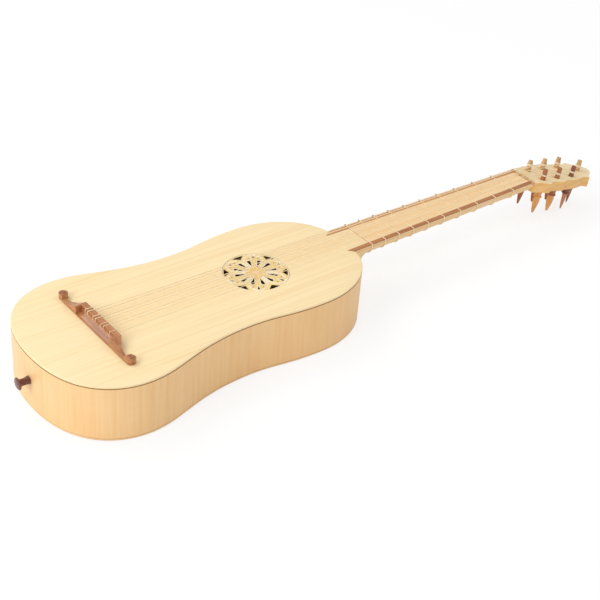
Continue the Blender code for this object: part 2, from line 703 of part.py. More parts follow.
def make_frets():
    """Gut frets tied round the neck, each made at its own place."""
    off = GAP + FRET_RADIUS
    for number in range(1, FRET_COUNT + 1):
        y = -fret_distance(number)
        half = neck_half_at(y) + off
        top = TOP_Z + off
        under = section_curve(half, neck_depth_at(y) + off)
        path = [(half - off, 0.0, top), (half, 0.0, TOP_Z)]
        path += [(x, 0.0, UNDER_BOARD_Z + z) for x, z in under]
        path += [(-half, 0.0, TOP_Z), (off - half, 0.0, top)]
        tube(f"fret_{number:02d}", path, FRET_RADIUS, GUT, closed=True, place=Matrix.Translation((0.0, y, 0.0)))


def arc(start, end, bulge):
    """Points from one point to before another on a shallow arc; a positive bulge swells to the right of the way."""
    start = np.array(start)
    end = np.array(end)
    run = end - start
    right = np.array((run[1], -run[0])) / np.linalg.norm(run)
    share = np.arange(ARC_STEPS) / ARC_STEPS
    return [tuple(start + run * s + right * bulge * 4 * s * (1 - s)) for s in share]


def make_head():
    """Flat head with a stepped and scalloped outline and seven tapered peg holes."""
    corners = [(HEAD_START_HALF, HEAD_START), FIRST_CORNER, FIRST_NOTCH, SECOND_CORNER, SECOND_NOTCH, HEAD_WAIST,
               THIRD_CORNER, TIP_SHOULDER, (0.0, HEAD_LENGTH)]
    half = []
    for start, end, bulge in zip(corners, corners[1:], HEAD_BULGES):
        half += arc(start, end, bulge)
    half.append(corners[-1])
    head = slab("peg_head", [mirrored(half)], -HEAD_THICKNESS, 0.0, PALE_MAPLE, HEAD_FRAME)
    for string in PEGS:
        x, y = peg_place(string)
        place = Matrix.Translation((x, y, -HEAD_THICKNESS - GAP))
        low = peg_radius_at(-HEAD_THICKNESS) + GAP
        high = peg_radius_at(0.0) + GAP
        hole = rod_cutter("peg_hole_" + string, low, high, HEAD_THICKNESS + 2 * GAP, place, HEAD_FRAME)
        combine(head, hole, "DIFFERENCE")


def peg_place(string):
    """Where a peg's axis meets the head's face."""
    side, row = PEGS[string][:2]
    if side == 0:
        return 0.0, PEG_LAST
    return side * PEG_SIDE, PEG_FIRST_ROW + row * PEG_ROW_PITCH


def peg_radius_at(height):
    """Radius of a peg's tapered shaft at a height over the head's face."""
    share = (PEG_TOP - height) / (PEG_TOP + HEAD_THICKNESS)
    return PEG_TOP_RADIUS + (PEG_SHOULDER_RADIUS - PEG_TOP_RADIUS) * share


def make_peg(string):
    """A peg: tapered shaft through the head, then a drum, a collar and a flat leaf-shaped handle."""
    x, y = peg_place(string)
    under = -HEAD_THICKNESS
    collar = under - PEG_DRUM_REACH
    leaf_top = collar - PEG_COLLAR_LENGTH
    tip = under - PEG_LENGTH_BELOW
    leaf = leaf_top - tip
    profile = [(PEG_TOP_RADIUS * 0.75, PEG_TOP), (PEG_TOP_RADIUS, PEG_TOP - 0.0006), (peg_radius_at(under), under),
               (PEG_DRUM_RADIUS * 0.9, under - GAP), (PEG_DRUM_RADIUS, under - GAP - PEG_DRUM_EASE),
               (PEG_DRUM_RADIUS * 0.9, collar), (PEG_COLLAR_RADIUS, collar - PEG_COLLAR_LENGTH * 0.3),
               (PEG_COLLAR_RADIUS, collar - PEG_COLLAR_LENGTH * 0.6), (PEG_SHOULDER_RADIUS * 1.1, leaf_top)]
    profile += [(PEG_LEAF_HALF * width, leaf_top - leaf * share) for share, width in PEG_LEAF_SHAPE]
    profile += [(PEG_TIP_HALF, tip + 0.0004), (PEG_TIP_HALF * 0.5, tip)]
    wood = PEG_WOODS["light"] if string in LIGHT_PEGS else PEG_WOODS["red"]
    turn = Matrix.Rotation(math.radians(PEGS[string][4]), 4, "Z")
    peg = turned("peg_" + string, profile, PEG_SIDES, wood, HEAD_FRAME, Matrix.Translation((x, y, 0.0)) @ turn)
    for vertex in peg.data.vertices:
        below = min(max((leaf_top - vertex.co.z) / (leaf * PEG_LEAF_SHAPE[0][0]), 0.0), 1.0)
        vertex.co.y *= 1.0 - (1.0 - PEG_LEAF_FLATNESS) * below


def winding_radius(string, radius):
    """Distance of a winding's middle line from its peg's axis."""
    return peg_radius_at(PEGS[string][3]) + GAP + radius


def make_winding(string, radius):
    """The end of a string wound round its peg, from the bottom turn up."""
    x, y = peg_place(string)
    height = PEGS[string][3]
    count = int(WINDING_TURNS * WINDING_STEPS)
    turn = np.arange(count + 1) / WINDING_STEPS * 2 * math.pi
    around = winding_radius(string, radius)
    rise = 2 * radius * WINDING_PITCH / (2 * math.pi)
    path = np.column_stack([around * np.cos(turn), around * np.sin(turn), height + rise * turn])
    tube("winding_" + string, path, radius, GUT, HEAD_FRAME, place=Matrix.Translation((x, y, 0.0)))


def string_end(string, radius, nut_point):
    """Where a string ends, just short of its winding, on the line that touches the winding."""
    x, y = peg_place(string)
    meets = PEGS[string][2]
    height = PEGS[string][3]
    tilt = Matrix.Rotation(-HEAD_TILT, 4, "X")
    on_head = tilt.inverted() @ (Vector(nut_point) - Vector((0.0, 0.0, TOP_Z)))
    toward = Vector((x - on_head.x, y - on_head.y))
    around = winding_radius(string, radius)
    swing = math.asin(around / toward.length)
    heading = math.atan2(toward.y, toward.x) - meets * swing
    reach = math.sqrt(toward.length ** 2 - around ** 2)
    clear = around + radius + GAP
    short = math.sqrt((clear + GAP) ** 2 - (around - radius) ** 2)
    share = (reach - short) / reach
    end = Vector((on_head.x + math.cos(heading) * reach * share, on_head.y + math.sin(heading) * reach * share,
                  on_head.z + (height - on_head.z) * share))
    return tuple(tilt @ end + Vector((0.0, 0.0, TOP_Z)))


def make_string(string, radius, bridge_x, nut_x):
    """A string from its winding over the nut to the bridge, through it and back over its ledge."""
    nut_point = (nut_x, NUT_REST, TOP_Z + NUT_PROUD + GAP + radius)
    hole_z = TOP_Z + STRING_HOLE_HEIGHT
    over_z = TOP_Z + BRIDGE_HEIGHT + GAP + radius
    ledge_y = BRIDGE_FRONT_Y - LEDGE_DEPTH - GAP - radius
    front_y = BRIDGE_FRONT_Y + GAP + radius
    loop_side = 2.5 * radius
    path = [string_end(string, radius, nut_point), nut_point, (bridge_x, BRIDGE_FRONT_Y, hole_z),
            (bridge_x, ledge_y + 2 * radius, hole_z), (bridge_x, ledge_y, hole_z + 2 * radius),
            (bridge_x + loop_side / 3, ledge_y, over_z - radius),
            (bridge_x + loop_side / 2, ledge_y + radius, over_z),
            (bridge_x + loop_side, front_y - radius, over_z),
            (bridge_x + loop_side, front_y, over_z - radius),
            (bridge_x + loop_side, front_y, hole_z + 4 * radius)]
    tube("string_" + string, path, radius, GUT)


def bridge_plan():
    """Treble half of the bridge seen from above, from the middle of its back edge round to the front."""
    back = -BRIDGE_DEPTH
    scroll_y = back + SCROLL_RADIUS
    arm_front = back + BRIDGE_ARM_WIDTH
    scroll = [(BRIDGE_ARM_REACH + SCROLL_RADIUS * math.cos(a), scroll_y + SCROLL_RADIUS * math.sin(a))
              for a in np.linspace(-math.pi / 2, math.pi * SCROLL_TURN, SCROLL_SIDES)]
    inner = BRIDGE_ARM_REACH - SCROLL_RADIUS - SCROLL_NOTCH
    start = np.array((inner, arm_front))
    end = np.array((BRIDGE_BLOCK_HALF, 0.0))
    share = np.linspace(0.0, 1.0, ARM_STEPS)
    run = end - start
    sweep = [(start[0] + run[0] * s, start[1] + run[1] * s ** ARM_SWEEP) for s in share]
    return scroll + sweep


def bridge_front():
    """Treble half of the bridge seen from the tail: the block, the sweep of the arm and the scroll."""
    dip = BRIDGE_ARM_REACH - SCROLL_RADIUS - SCROLL_NOTCH * 0.8
    share = np.linspace(0.0, 1.0, ARM_STEPS + 1)
    run = dip - BRIDGE_BLOCK_HALF
    drop = BRIDGE_HEIGHT - BRIDGE_ARM_HEIGHT
    sweep = [(BRIDGE_BLOCK_HALF + run * s, BRIDGE_ARM_HEIGHT + drop * (1.0 - s) ** ARM_DROP) for s in share]
    end = BRIDGE_ARM_REACH + SCROLL_RADIUS + CUT_PAST
    rise = dip + SCROLL_NOTCH * 0.4
    return sweep + [(rise, SCROLL_HEIGHT), (end, SCROLL_HEIGHT), (end, -CUT_PAST)]


def make_bridge():
    """Tie bridge: scrolled arms, a hollow back under a ledge, and a hole for each string."""
    place = Matrix.Translation((0.0, BRIDGE_FRONT_Y, TOP_Z + GAP))
    bridge = slab("bridge", [mirrored(bridge_plan())], 0.0, BRIDGE_HEIGHT + CUT_PAST, PLUM, place=place)
    stand = place @ Matrix.Rotation(math.pi / 2, 4, "X")
    front = slab("bridge_front_shape", [mirrored(bridge_front())], -BRIDGE_DEPTH, 2 * BRIDGE_DEPTH, None, place=stand)
    combine(bridge, as_cutter(front), "INTERSECT")
    wall = -LEDGE_DEPTH + LEDGE_UNDERCUT
    ceiling = BRIDGE_HEIGHT - LEDGE_THICKNESS
    middle = (HOLLOW_FLOOR + ceiling) / 2
    rear = -BRIDGE_DEPTH - CUT_PAST
    over = BRIDGE_HEIGHT + 2 * CUT_PAST
    hollow = [(rear, HOLLOW_FLOOR * 0.6), (-BRIDGE_DEPTH + HOLLOW_FOOT, HOLLOW_FLOOR),
              (wall - HOLLOW_RISE, middle * 0.72), (wall - HOLLOW_RISE * 0.2, middle), (wall, ceiling - 0.0008),
              (wall, ceiling), (-LEDGE_DEPTH, ceiling), (-LEDGE_DEPTH, over), (rear, over)]
    lie = place @ Matrix.Rotation(math.pi / 2, 4, "Z") @ Matrix.Rotation(math.pi / 2, 4, "X")
    reach = BRIDGE_BLOCK_HALF - CHEEK
    scoop = slab("bridge_hollow", [hollow], -reach, reach, None, place=lie)
    combine(bridge, as_cutter(scoop), "DIFFERENCE")
    for string, radius, bridge_x, nut_x in STRINGS:
        turn = Matrix.Rotation(math.pi / 2, 4, "X")
        start = Matrix.Translation((bridge_x, CUT_PAST, STRING_HOLE_HEIGHT - GAP))
        hole = rod_cutter("string_hole_" + string, radius + STRING_HOLE_PLAY, radius + STRING_HOLE_PLAY,
                          LEDGE_DEPTH, place @ start @ turn, sides=8)
        combine(bridge, hole, "DIFFERENCE")


def make_end_pin():
    """Turned end pin, pushed through the ribs into the tail block."""
    flare_z = PIN_STANDOUT - GAP
    profile = [(PIN_HEAD_RADIUS * 0.6, 0.0), (PIN_HEAD_RADIUS, 0.0009), (PIN_HEAD_RADIUS, PIN_HEAD_THICKNESS * 0.75),
               (PIN_WAIST_RADIUS * 1.2, PIN_HEAD_THICKNESS), (PIN_WAIST_RADIUS, PIN_HEAD_THICKNESS * 1.6),
               (PIN_WAIST_RADIUS, flare_z * 0.7), (PIN_FLARE_RADIUS, flare_z), (PIN_SHANK_RADIUS, flare_z),
               (PIN_SHANK_RADIUS * 0.9, flare_z + PIN_SHANK_LENGTH)]
    profile = [(radius, -depth) for radius, depth in profile]
    end = Matrix.Translation((0.0, TAIL_Y - PIN_STANDOUT, TOP_Z - PIN_FROM_TOP))
    turned("end_pin", profile, PIN_SIDES, DARK_PLUM, place=end @ Matrix.Rotation(math.pi / 2, 4, "X"))


def make_nail():
    """Nail through the neck block and the ribs into the heel."""
    block_back = -NECK_LENGTH - RIB_INSIDE - NECK_BLOCK_THICKNESS
    length = -NECK_LENGTH + NAIL_IN_HEEL - block_back
    profile = [(NAIL_RADIUS * 0.4, length), (NAIL_RADIUS, length - 0.004), (NAIL_RADIUS, -GAP),
               (NAIL_HEAD_RADIUS, -GAP), (NAIL_HEAD_RADIUS, -GAP - NAIL_HEAD_THICKNESS)]
    lie = Matrix.Translation((0.0, block_back, NAIL_HEIGHT)) @ Matrix.Rotation(-math.pi / 2, 4, "X")
    turned("neck_nail", profile, PEG_SIDES, IRON, place=lie)


def make_body_holes():
    """Cutters for the end pin's hole and the nail's hole."""
    along_y = Matrix.Rotation(-math.pi / 2, 4, "X")
    pin_place = Matrix.Translation((0.0, TAIL_Y - GAP, TOP_Z - PIN_FROM_TOP)) @ along_y
    pin = rod_cutter("pin_hole", PIN_SHANK_RADIUS + GAP, PIN_SHANK_RADIUS + GAP, PIN_SHANK_LENGTH + 0.004, pin_place)
    block_back = -NECK_LENGTH - RIB_INSIDE - NECK_BLOCK_THICKNESS
    nail_place = Matrix.Translation((0.0, block_back - GAP, NAIL_HEIGHT)) @ along_y
    reach = -NECK_LENGTH + NAIL_IN_HEEL - block_back + 2 * GAP
    nail = rod_cutter("nail_hole", NAIL_RADIUS + GAP, NAIL_RADIUS + GAP, reach, nail_place)
    return pin, nail


def build():
    """Makes the whole guitar."""
    pin_hole, nail_hole = make_body_holes()
    make_soundboard()
    make_back()
    make_ribs(pin_hole, nail_hole)
    make_linings()
    make_blocks(pin_hole, nail_hole)
    make_bars()
    make_rose()
    make_neck(nail_hole)
    make_fingerboard()
    make_nut()
    make_frets()
    make_head()
    make_bridge()
    make_end_pin()
    make_nail()
    for string, radius, bridge_x, nut_x in STRINGS:
        make_peg(string)
        make_winding(string, radius)
        make_string(string, radius, bridge_x, nut_x)


build()
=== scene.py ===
# %% [markdown]
# # A renaissance guitar, dressed for its portrait
#
# The guitar arrives as a set of plain solids: a soundboard, two ribs, a neck, a head with seven pegs,
# strings and tied frets. This lesson gives each of them the surface that the real one has. Most pieces
# are made again as fine surfaces worked out with numpy, in the same place as the solid that they stand
# for, and a few solids stay and only get a better finish.
#
# Lengths are metres. The neck points along +Y, the soundboard faces +Z, and the treble side is +X.

import math

import bmesh
import bpy
import numpy as np
from mathutils import Matrix, Vector


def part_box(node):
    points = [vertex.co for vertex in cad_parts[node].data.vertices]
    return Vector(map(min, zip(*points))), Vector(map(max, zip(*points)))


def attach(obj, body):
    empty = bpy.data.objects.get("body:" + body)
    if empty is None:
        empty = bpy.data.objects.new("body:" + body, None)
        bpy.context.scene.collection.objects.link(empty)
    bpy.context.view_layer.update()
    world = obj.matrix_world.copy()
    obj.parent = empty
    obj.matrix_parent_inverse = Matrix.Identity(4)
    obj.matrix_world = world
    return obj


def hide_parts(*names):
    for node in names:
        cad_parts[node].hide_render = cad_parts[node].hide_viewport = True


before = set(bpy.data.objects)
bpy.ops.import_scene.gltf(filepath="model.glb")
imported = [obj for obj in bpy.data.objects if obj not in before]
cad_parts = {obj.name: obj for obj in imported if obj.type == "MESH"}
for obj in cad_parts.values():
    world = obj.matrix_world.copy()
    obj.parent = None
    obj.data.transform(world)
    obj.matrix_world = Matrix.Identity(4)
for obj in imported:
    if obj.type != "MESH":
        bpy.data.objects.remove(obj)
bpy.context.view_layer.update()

# %% [markdown]
# ## Where things are
#
# A guitar is laid out from its nut, because the sounding length of the strings starts there. The two
# levels that matter are read off the solids: the edge of the nut and the face of the soundboard. Every
# other length is written once, under a name a maker would use.

# %% The guitar's measures
NUT_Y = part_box("nut")[0].y
TOP_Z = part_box("soundboard")[1].z
STRING_LENGTH = 0.550
GAP = 0.0003
BOARD_THICKNESS = 0.0024
BACK_THICKNESS = 0.0022
RIB_THICKNESS = 0.0016
UNDER_BOARD_Z = TOP_Z - BOARD_THICKNESS - GAP
NECK_LENGTH = 0.2649
NUT_HALF = 0.0170
HEEL_HALF = 0.0221
STRIP_WIDTH = 0.0050
STRIP_POINT = 0.0055
ROSE_Y = -0.3750
ROSE_RADIUS = 0.0337
ROSE_SINK = 0.0005
ROSE_FACE_Z = TOP_Z - ROSE_SINK
HEAD_TILT = math.radians(11.1)
HEAD_UP = (0.0, math.sin(HEAD_TILT), math.cos(HEAD_TILT))
HEAD_THICKNESS = 0.0120
FRET_COUNT = 10
BODY = "guitar"


def fret_y(number):
    """A fret's place: each one leaves 1 / (twelfth root of 2) of the string that sounded before it."""
    return -STRING_LENGTH * (1.0 - 2.0 ** (-number / 12.0))


print("nut at", round(NUT_Y, 4), "soundboard at", round(TOP_Z, 4))
print("last fret at", round(fret_y(FRET_COUNT), 4))

# %% [markdown]
# ## Helpers that turn arrays into pieces
#
# Every new piece is a grid of points: rows run along the piece and columns run round it. numpy works
# out the whole grid at once, and one helper turns any grid into a closed mesh. It also joins the piece
# to its body and names its finish. Making grids this way keeps the shape in a formula, so a change of
# one length moves every point that depends on it.

# %% Grid to mesh
# Past this angle between two faces, in degrees, the edge between them is drawn sharp.
PIECE_SHARP = 35.0
WIRE_SHARP = 60.0


def grid_faces(rows, columns, wrap_rows):
    """Four-sided faces between neighbouring rows and columns; the last column always joins the first."""
    row = np.arange(rows if wrap_rows else rows - 1)
    i, j = np.meshgrid(row, np.arange(columns), indexing="ij")
    after_i = (i + 1) % rows
    after_j = (j + 1) % columns
    quads = (i * columns + j, after_i * columns + j, after_i * columns + after_j, i * columns + after_j)
    return np.stack(quads, axis=-1).reshape(-1, 4)


def new_piece(name, points, faces, body, finish, stands_for=(), sharp=PIECE_SHARP, uv=None):
    """Makes a mesh object whose faces point outwards, and rides it on its body."""
    mesh = bpy.data.meshes.new(name)
    mesh.from_pydata(points.tolist(), [], faces)
    if uv is not None:
        layer = mesh.uv_layers.new(name="along")
        corner = np.zeros(len(mesh.loops), np.int32)
        mesh.loops.foreach_get("vertex_index", corner)
        layer.data.foreach_set("uv", uv[corner].astype(np.float32).ravel())
    shape = bmesh.new()
    shape.from_mesh(mesh)
    bmesh.ops.recalc_face_normals(shape, faces=shape.faces)
    shape.to_mesh(mesh)
    shape.free()
    mesh.shade_smooth()
    mesh.set_sharp_from_angle(angle=math.radians(sharp))
    mesh.materials.append(finish)
    piece = bpy.data.objects.new(name, mesh)
    bpy.context.scene.collection.objects.link(piece)
    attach(piece, body)
    if stands_for:
        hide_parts(*stands_for)
    return piece


def grid_piece(name, grid, body, finish, stands_for=(), wrap_rows=False, uv=None):
    """Makes a piece from a grid of rows and columns; open ends are closed with a fan to their middle."""
    rows, columns = grid.shape[:2]
    points = grid.reshape(-1, 3)
    faces = grid_faces(rows, columns, wrap_rows).tolist()
    if not wrap_rows:
        middles = np.stack([grid[0].mean(axis=0), grid[-1].mean(axis=0)])
        middle = np.full(columns, len(points))
        around = np.arange(columns)
        after = (around + 1) % columns
        last_row = (rows - 1) * columns
        faces += np.stack([middle, after, around], axis=-1).tolist()
        faces += np.stack([middle + 1, last_row + around, last_row + after], axis=-1).tolist()
        points = np.vstack([points, middles])
        if uv is not None:
            uv = np.vstack([uv, uv[:1], uv[-1:]])
    return new_piece(name, points, faces, body, finish, stands_for, uv=uv)


def from_nut(points):
    """Moves points that are measured from the nut to their place in the guitar."""
    return np.asarray(points, float) + (0.0, NUT_Y, 0.0)


# %% [markdown]
# A string, a fret and the raised lines of the rose are all a circle carried along a path. At each point
# of the path the circle lies in the plane square to it. Two directions span that plane, and both follow
# from one steady direction that the path never runs along. One helper makes a whole family of such
# wires in one mesh.

# %% Wires along paths
# Steady directions: across the guitar, along its neck, and square to its soundboard.
ACROSS = (1.0, 0.0, 0.0)
ALONG = (0.0, 1.0, 0.0)
UP = (0.0, 0.0, 1.0)
# The most of a side that a rounded corner takes.
CORNER_SHARE = 0.45


def unit(vectors):
    """The same directions with length one."""
    return vectors / np.linalg.norm(vectors, axis=-1, keepdims=True)


def wire_grid(paths, radius, steady, sides, closed):
    """Circles along many paths at once: path + radius * (cos(a) * across + sin(a) * up)."""
    paths = np.asarray(paths, float)
    if closed:
        run = np.roll(paths, -1, axis=-2) - np.roll(paths, 1, axis=-2)
    else:
        run = np.gradient(paths, axis=-2)
    run = unit(run)
    across = unit(np.cross(run, np.asarray(steady, float)))
    up = np.cross(across, run)
    turn = np.arange(sides) * 2 * math.pi / sides
    radius = np.asarray(radius, float)[..., None, None]
    ring = np.cos(turn)[:, None] * across[..., None, :] + np.sin(turn)[:, None] * up[..., None, :]
    return paths[..., None, :] + radius * ring


def wires_piece(name, paths, radius, steady, body, finish, stands_for=(), sides=8, closed=False):
    """One piece from a family of wires, all with the same number of points."""
    grids = wire_grid(paths, radius, steady, sides, closed)
    count, rows, columns = grids.shape[:3]
    points = grids.reshape(-1, 3)
    quads = grid_faces(rows, columns, closed)
    start = np.arange(count)[:, None, None] * rows * columns
    faces = (quads[None] + start).reshape(-1, 4).tolist()
    if not closed:
        ring = np.arange(columns)
        first = (ring[None] + start[:, :, 0]).tolist()
        last = (ring[None, ::-1] + start[:, :, 0] + (rows - 1) * columns).tolist()
        faces += first + last
    return new_piece(name, points, faces, body, finish, stands_for, WIRE_SHARP)


def rounded(points, reach, steps=6):
    """Bends a path smoothly: each inner corner becomes the curve (1-t)^2 a + 2t(1-t) corner + t^2 b."""
    p = np.asarray(points, float)
    corner = p[1:-1]
    into = corner - p[:-2]
    out = p[2:] - corner
    long_in = np.linalg.norm(into, axis=1, keepdims=True)
    long_out = np.linalg.norm(out, axis=1, keepdims=True)
    near = np.minimum(reach, CORNER_SHARE * np.minimum(long_in, long_out))
    a = corner - into / long_in * near
    b = corner + out / long_out * near
    t = np.linspace(0.0, 1.0, steps)[:, None]
    bend = (1 - t) ** 2 * a[:, None] + 2 * t * (1 - t) * corner[:, None] + t ** 2 * b[:, None]
    return np.vstack([p[:1], bend.reshape(-1, 3), p[-1:]])


print("helpers ready")

# %% [markdown]
# ## Finishes
#
# Wood is never one colour. Spruce has fine straight lines along the board, maple has bars of light
# across it, and plum is dark with streaks. Each finish below is a noise that is stretched along the
# grain, so the lines come out long and thin, mixed with a slower noise for the broad changes of tone.
# The same lines drive a little bump and roughness, because late wood is harder and shinier than early
# wood.

# %% Node helpers
COAT_ROUGHNESS = 0.25


def new_finish(name, roughness, coat=0.0):
    """A material with its shader; what is the same all over is set on the shader's own sockets."""
    finish = bpy.data.materials.new(name)
    finish.use_nodes = True
    shader = finish.node_tree.nodes["Principled BSDF"]
    shader.inputs["Roughness"].default_value = roughness
    shader.inputs["Coat Weight"].default_value = coat
    shader.inputs["Coat Roughness"].default_value = COAT_ROUGHNESS
    return finish, finish.node_tree, shader


def add_node(tree, kind, links=(), **settings):
    """A node with its settings; links is a list of (output socket, input name)."""
    node = tree.nodes.new(kind)
    for key, value in settings.items():
        if hasattr(node, key) and key not in node.inputs:
            setattr(node, key, value)
        else:
            node.inputs[key].default_value = value
    for output, name in links:
        tree.links.new(output, node.inputs[name])
    return node


def stretched_noise(tree, source, scale, detail=4.0, rough=0.55, distortion=0.0):
    """Noise on coordinates stretched by a scale for each axis; a small number makes long marks."""
    place = add_node(tree, "ShaderNodeMapping", [(source, "Vector")], Scale=scale)
    noise = add_node(tree, "ShaderNodeTexNoise", [(place.outputs["Vector"], "Vector")], Scale=1.0,
                     Detail=detail, Roughness=rough, Distortion=distortion)
    return noise.outputs["Fac"]


def ramp(tree, factor, stops):
    """Colours at places from 0 to 1."""
    node = add_node(tree, "ShaderNodeValToRGB", [(factor, "Fac")])
    elements = node.color_ramp.elements
    while len(elements) < len(stops):
        elements.new(0.5)
    for element, (place, colour) in zip(elements, stops):
        element.position = place
        element.color = (*colour, 1.0)
    return node.outputs["Color"]


def grey_ramp(tree, factor, low, high):
    """0 below one place, 1 above the other."""
    return ramp(tree, factor, [(low, (0.0, 0.0, 0.0)), (high, (1.0, 1.0, 1.0))])


def mixed(tree, factor, a, b, blend="MIX"):
    """Mix of two colours; either may be a socket or a colour, and the factor a socket or a number."""
    node = add_node(tree, "ShaderNodeMix", data_type="RGBA", blend_type=blend)
    for name, value in (("Factor", factor), ("A", a), ("B", b)):
        socket = next(s for s in node.inputs if s.name == name and s.enabled)
        if isinstance(value, bpy.types.NodeSocket):
            tree.links.new(value, socket)
        elif isinstance(value, (int, float)):
            socket.default_value = value
        else:
            socket.default_value = (*value, 1.0)
    return next(s for s in node.outputs if s.enabled)


def math_node(tree, operation, a, b=0.0):
    """One calculation on two values."""
    node = add_node(tree, "ShaderNodeMath", operation=operation)
    for socket, value in zip(node.inputs, (a, b)):
        if isinstance(value, bpy.types.NodeSocket):
            tree.links.new(value, socket)
        else:
            socket.default_value = value
    return node.outputs[0]


def finish_off(tree, shader, colour, height, strength, depth, rough=None):
    """Connects the colour, a bump and, where one is given, a range of roughness to the shader."""
    tree.links.new(colour, shader.inputs["Base Color"])
    bump = add_node(tree, "ShaderNodeBump", [(height, "Height")], Strength=strength, Distance=depth)
    tree.links.new(bump.outputs["Normal"], shader.inputs["Normal"])
    if rough is not None:
        spread = add_node(tree, "ShaderNodeMapRange", [(height, "Value")])
        spread.inputs["To Min"].default_value = rough[0]
        spread.inputs["To Max"].default_value = rough[1]
        tree.links.new(spread.outputs["Result"], shader.inputs["Roughness"])


def between(tree, value, start, end):
    """0 at the start length and 1 at the end one; a colour ramp has too few steps for short lengths."""
    node = add_node(tree, "ShaderNodeMapRange", [(value, "Value")])
    node.inputs["From Min"].default_value = start
    node.inputs["From Max"].default_value = end
    return node.outputs["Result"]


def one_axis(tree, vector, axis):
    """X, Y or Z of a place or a direction."""
    return add_node(tree, "ShaderNodeSeparateXYZ", [(vector, "Vector")]).outputs[axis]


def object_place(tree):
    """Where a point is on its own piece, in metres."""
    return add_node(tree, "ShaderNodeTexCoord").outputs["Object"]


print("node helpers ready")

# %% [markdown]
# Spruce for the soundboard is split from one wedge and opened like a book, so its lines mirror each
# other about the middle joint. Taking the absolute value of X before the noise does the same to the
# pattern.

# %% Spruce
JOINT_HALF = 0.0003


def make_spruce():
    """Cream board: fine lines 1 to 2 mm apart along Y, mirrored about the joint, and broad bands."""
    finish, tree, shader = new_finish("oiled_spruce", roughness=0.5, coat=0.12)
    split = add_node(tree, "ShaderNodeSeparateXYZ", [(object_place(tree), "Vector")])
    mirrored_x = math_node(tree, "ABSOLUTE", split.outputs["X"])
    joined = add_node(tree, "ShaderNodeCombineXYZ", [(mirrored_x, "X"), (split.outputs["Y"], "Y"),
                                                     (split.outputs["Z"], "Z")])
    place = joined.outputs["Vector"]
    lines = stretched_noise(tree, place, (620.0, 5.0, 40.0), detail=3.0, rough=0.6, distortion=0.3)
    bands = stretched_noise(tree, place, (70.0, 1.2, 8.0), detail=3.0, rough=0.5)
    silk = stretched_noise(tree, place, (900.0, 120.0, 200.0), detail=2.0)
    tone = ramp(tree, bands, [(0.25, (0.965, 0.755, 0.430)), (0.55, (0.985, 0.790, 0.465)),
                              (0.8, (0.950, 0.725, 0.400))])
    dark = grey_ramp(tree, lines, 0.48, 0.76)
    tone = mixed(tree, dark, tone, mixed(tree, 1.0, tone, (0.93, 0.86, 0.74), "MULTIPLY"))
    joint = between(tree, mirrored_x, 0.0, JOINT_HALF)
    tone = mixed(tree, joint, (0.88, 0.64, 0.34), tone)
    tone = mixed(tree, 0.10, tone, silk, "SOFT_LIGHT")
    finish_off(tree, shader, tone, lines, strength=0.12, depth=0.0001, rough=(0.44, 0.56))
    return finish


SPRUCE = make_spruce()

# %% [markdown]
# The ribs are thin maple, bent on a hot iron. Their flame runs from the back to the soundboard wherever
# the rib goes, so the pattern reads the rib's own map: one coordinate is the distance along the rib,
# the other the height. A thin brown line at the top and the bottom of the map is painted shade in the
# joint under the two plates.

# %% Flamed maple
# Distances from the plates between which the painted shade lines at the joints fade.
TOP_JOINT_SHADE = (0.0005, 0.0001)
BACK_JOINT_SHADE = (0.0002, 0.0005)


def make_rib_maple():
    """Maple with bars about 4 mm wide across the rib's length, fine pores along it, brown lines of
    painted shade under the plates.
    """
    finish, tree, shader = new_finish("flamed_rib_maple", roughness=0.42, coat=0.2)
    place = add_node(tree, "ShaderNodeUVMap", uv_map="along").outputs["UV"]
    flame = stretched_noise(tree, place, (230.0, 10.0, 1.0), detail=3.0, rough=0.55, distortion=0.6)
    pores = stretched_noise(tree, place, (30.0, 900.0, 1.0), detail=3.0, rough=0.6)
    cloud = stretched_noise(tree, place, (9.0, 12.0, 1.0), detail=2.0, rough=0.5)
    tone = ramp(tree, cloud, [(0.3, (0.960, 0.635, 0.310)), (0.7, (0.930, 0.590, 0.270))])
    bars = grey_ramp(tree, flame, 0.40, 0.70)
    tone = mixed(tree, bars, tone, mixed(tree, 1.0, tone, (0.96, 0.91, 0.83), "MULTIPLY"))
    tone = mixed(tree, 0.12, tone, pores, "SOFT_LIGHT")
    height = one_axis(tree, place, "Y")
    above = between(tree, height, UNDER_BOARD_Z - TOP_JOINT_SHADE[0], UNDER_BOARD_Z - TOP_JOINT_SHADE[1])
    below = between(tree, height, BACK_THICKNESS + BACK_JOINT_SHADE[0], BACK_THICKNESS + BACK_JOINT_SHADE[1])
    # Painted shade: a dark brown line just under the soundboard and a brown one just over the back,
    # where the ribs meet the plates.
    tone = mixed(tree, above, tone, (0.42, 0.20, 0.06))
    tone = mixed(tree, below, (0.60, 0.32, 0.11), tone)
    finish_off(tree, shader, tone, flame, strength=0.06, depth=0.0003, rough=(0.34, 0.46))
    return finish


def make_plain_maple(name, light, shade):
    """Straight maple: long fine lines along the piece and faint bars across."""
    finish, tree, shader = new_finish(name, roughness=0.42, coat=0.15)
    place = object_place(tree)
    lines = stretched_noise(tree, place, (420.0, 7.0, 420.0), detail=4.0, rough=0.6, distortion=0.2)
    bars = stretched_noise(tree, place, (20.0, 150.0, 20.0), detail=2.0, rough=0.4, distortion=0.4)
    tone = mixed(tree, grey_ramp(tree, lines, 0.35, 0.7), light, shade)
    tone = mixed(tree, 0.10, tone, bars, "SOFT_LIGHT")
    finish_off(tree, shader, tone, lines, strength=0.08, depth=0.0001, rough=(0.36, 0.48))
    return finish


RIB_MAPLE = make_rib_maple()
NECK_MAPLE = make_plain_maple("neck_maple", (0.960, 0.680, 0.360), (0.880, 0.570, 0.250))
FIELD_MAPLE = make_plain_maple("fingerboard_maple", (0.980, 0.745, 0.430), (0.930, 0.640, 0.330))
BACK_MAPLE = make_plain_maple("back_maple", (0.950, 0.640, 0.320), (0.880, 0.560, 0.250))
print("maple finishes ready")
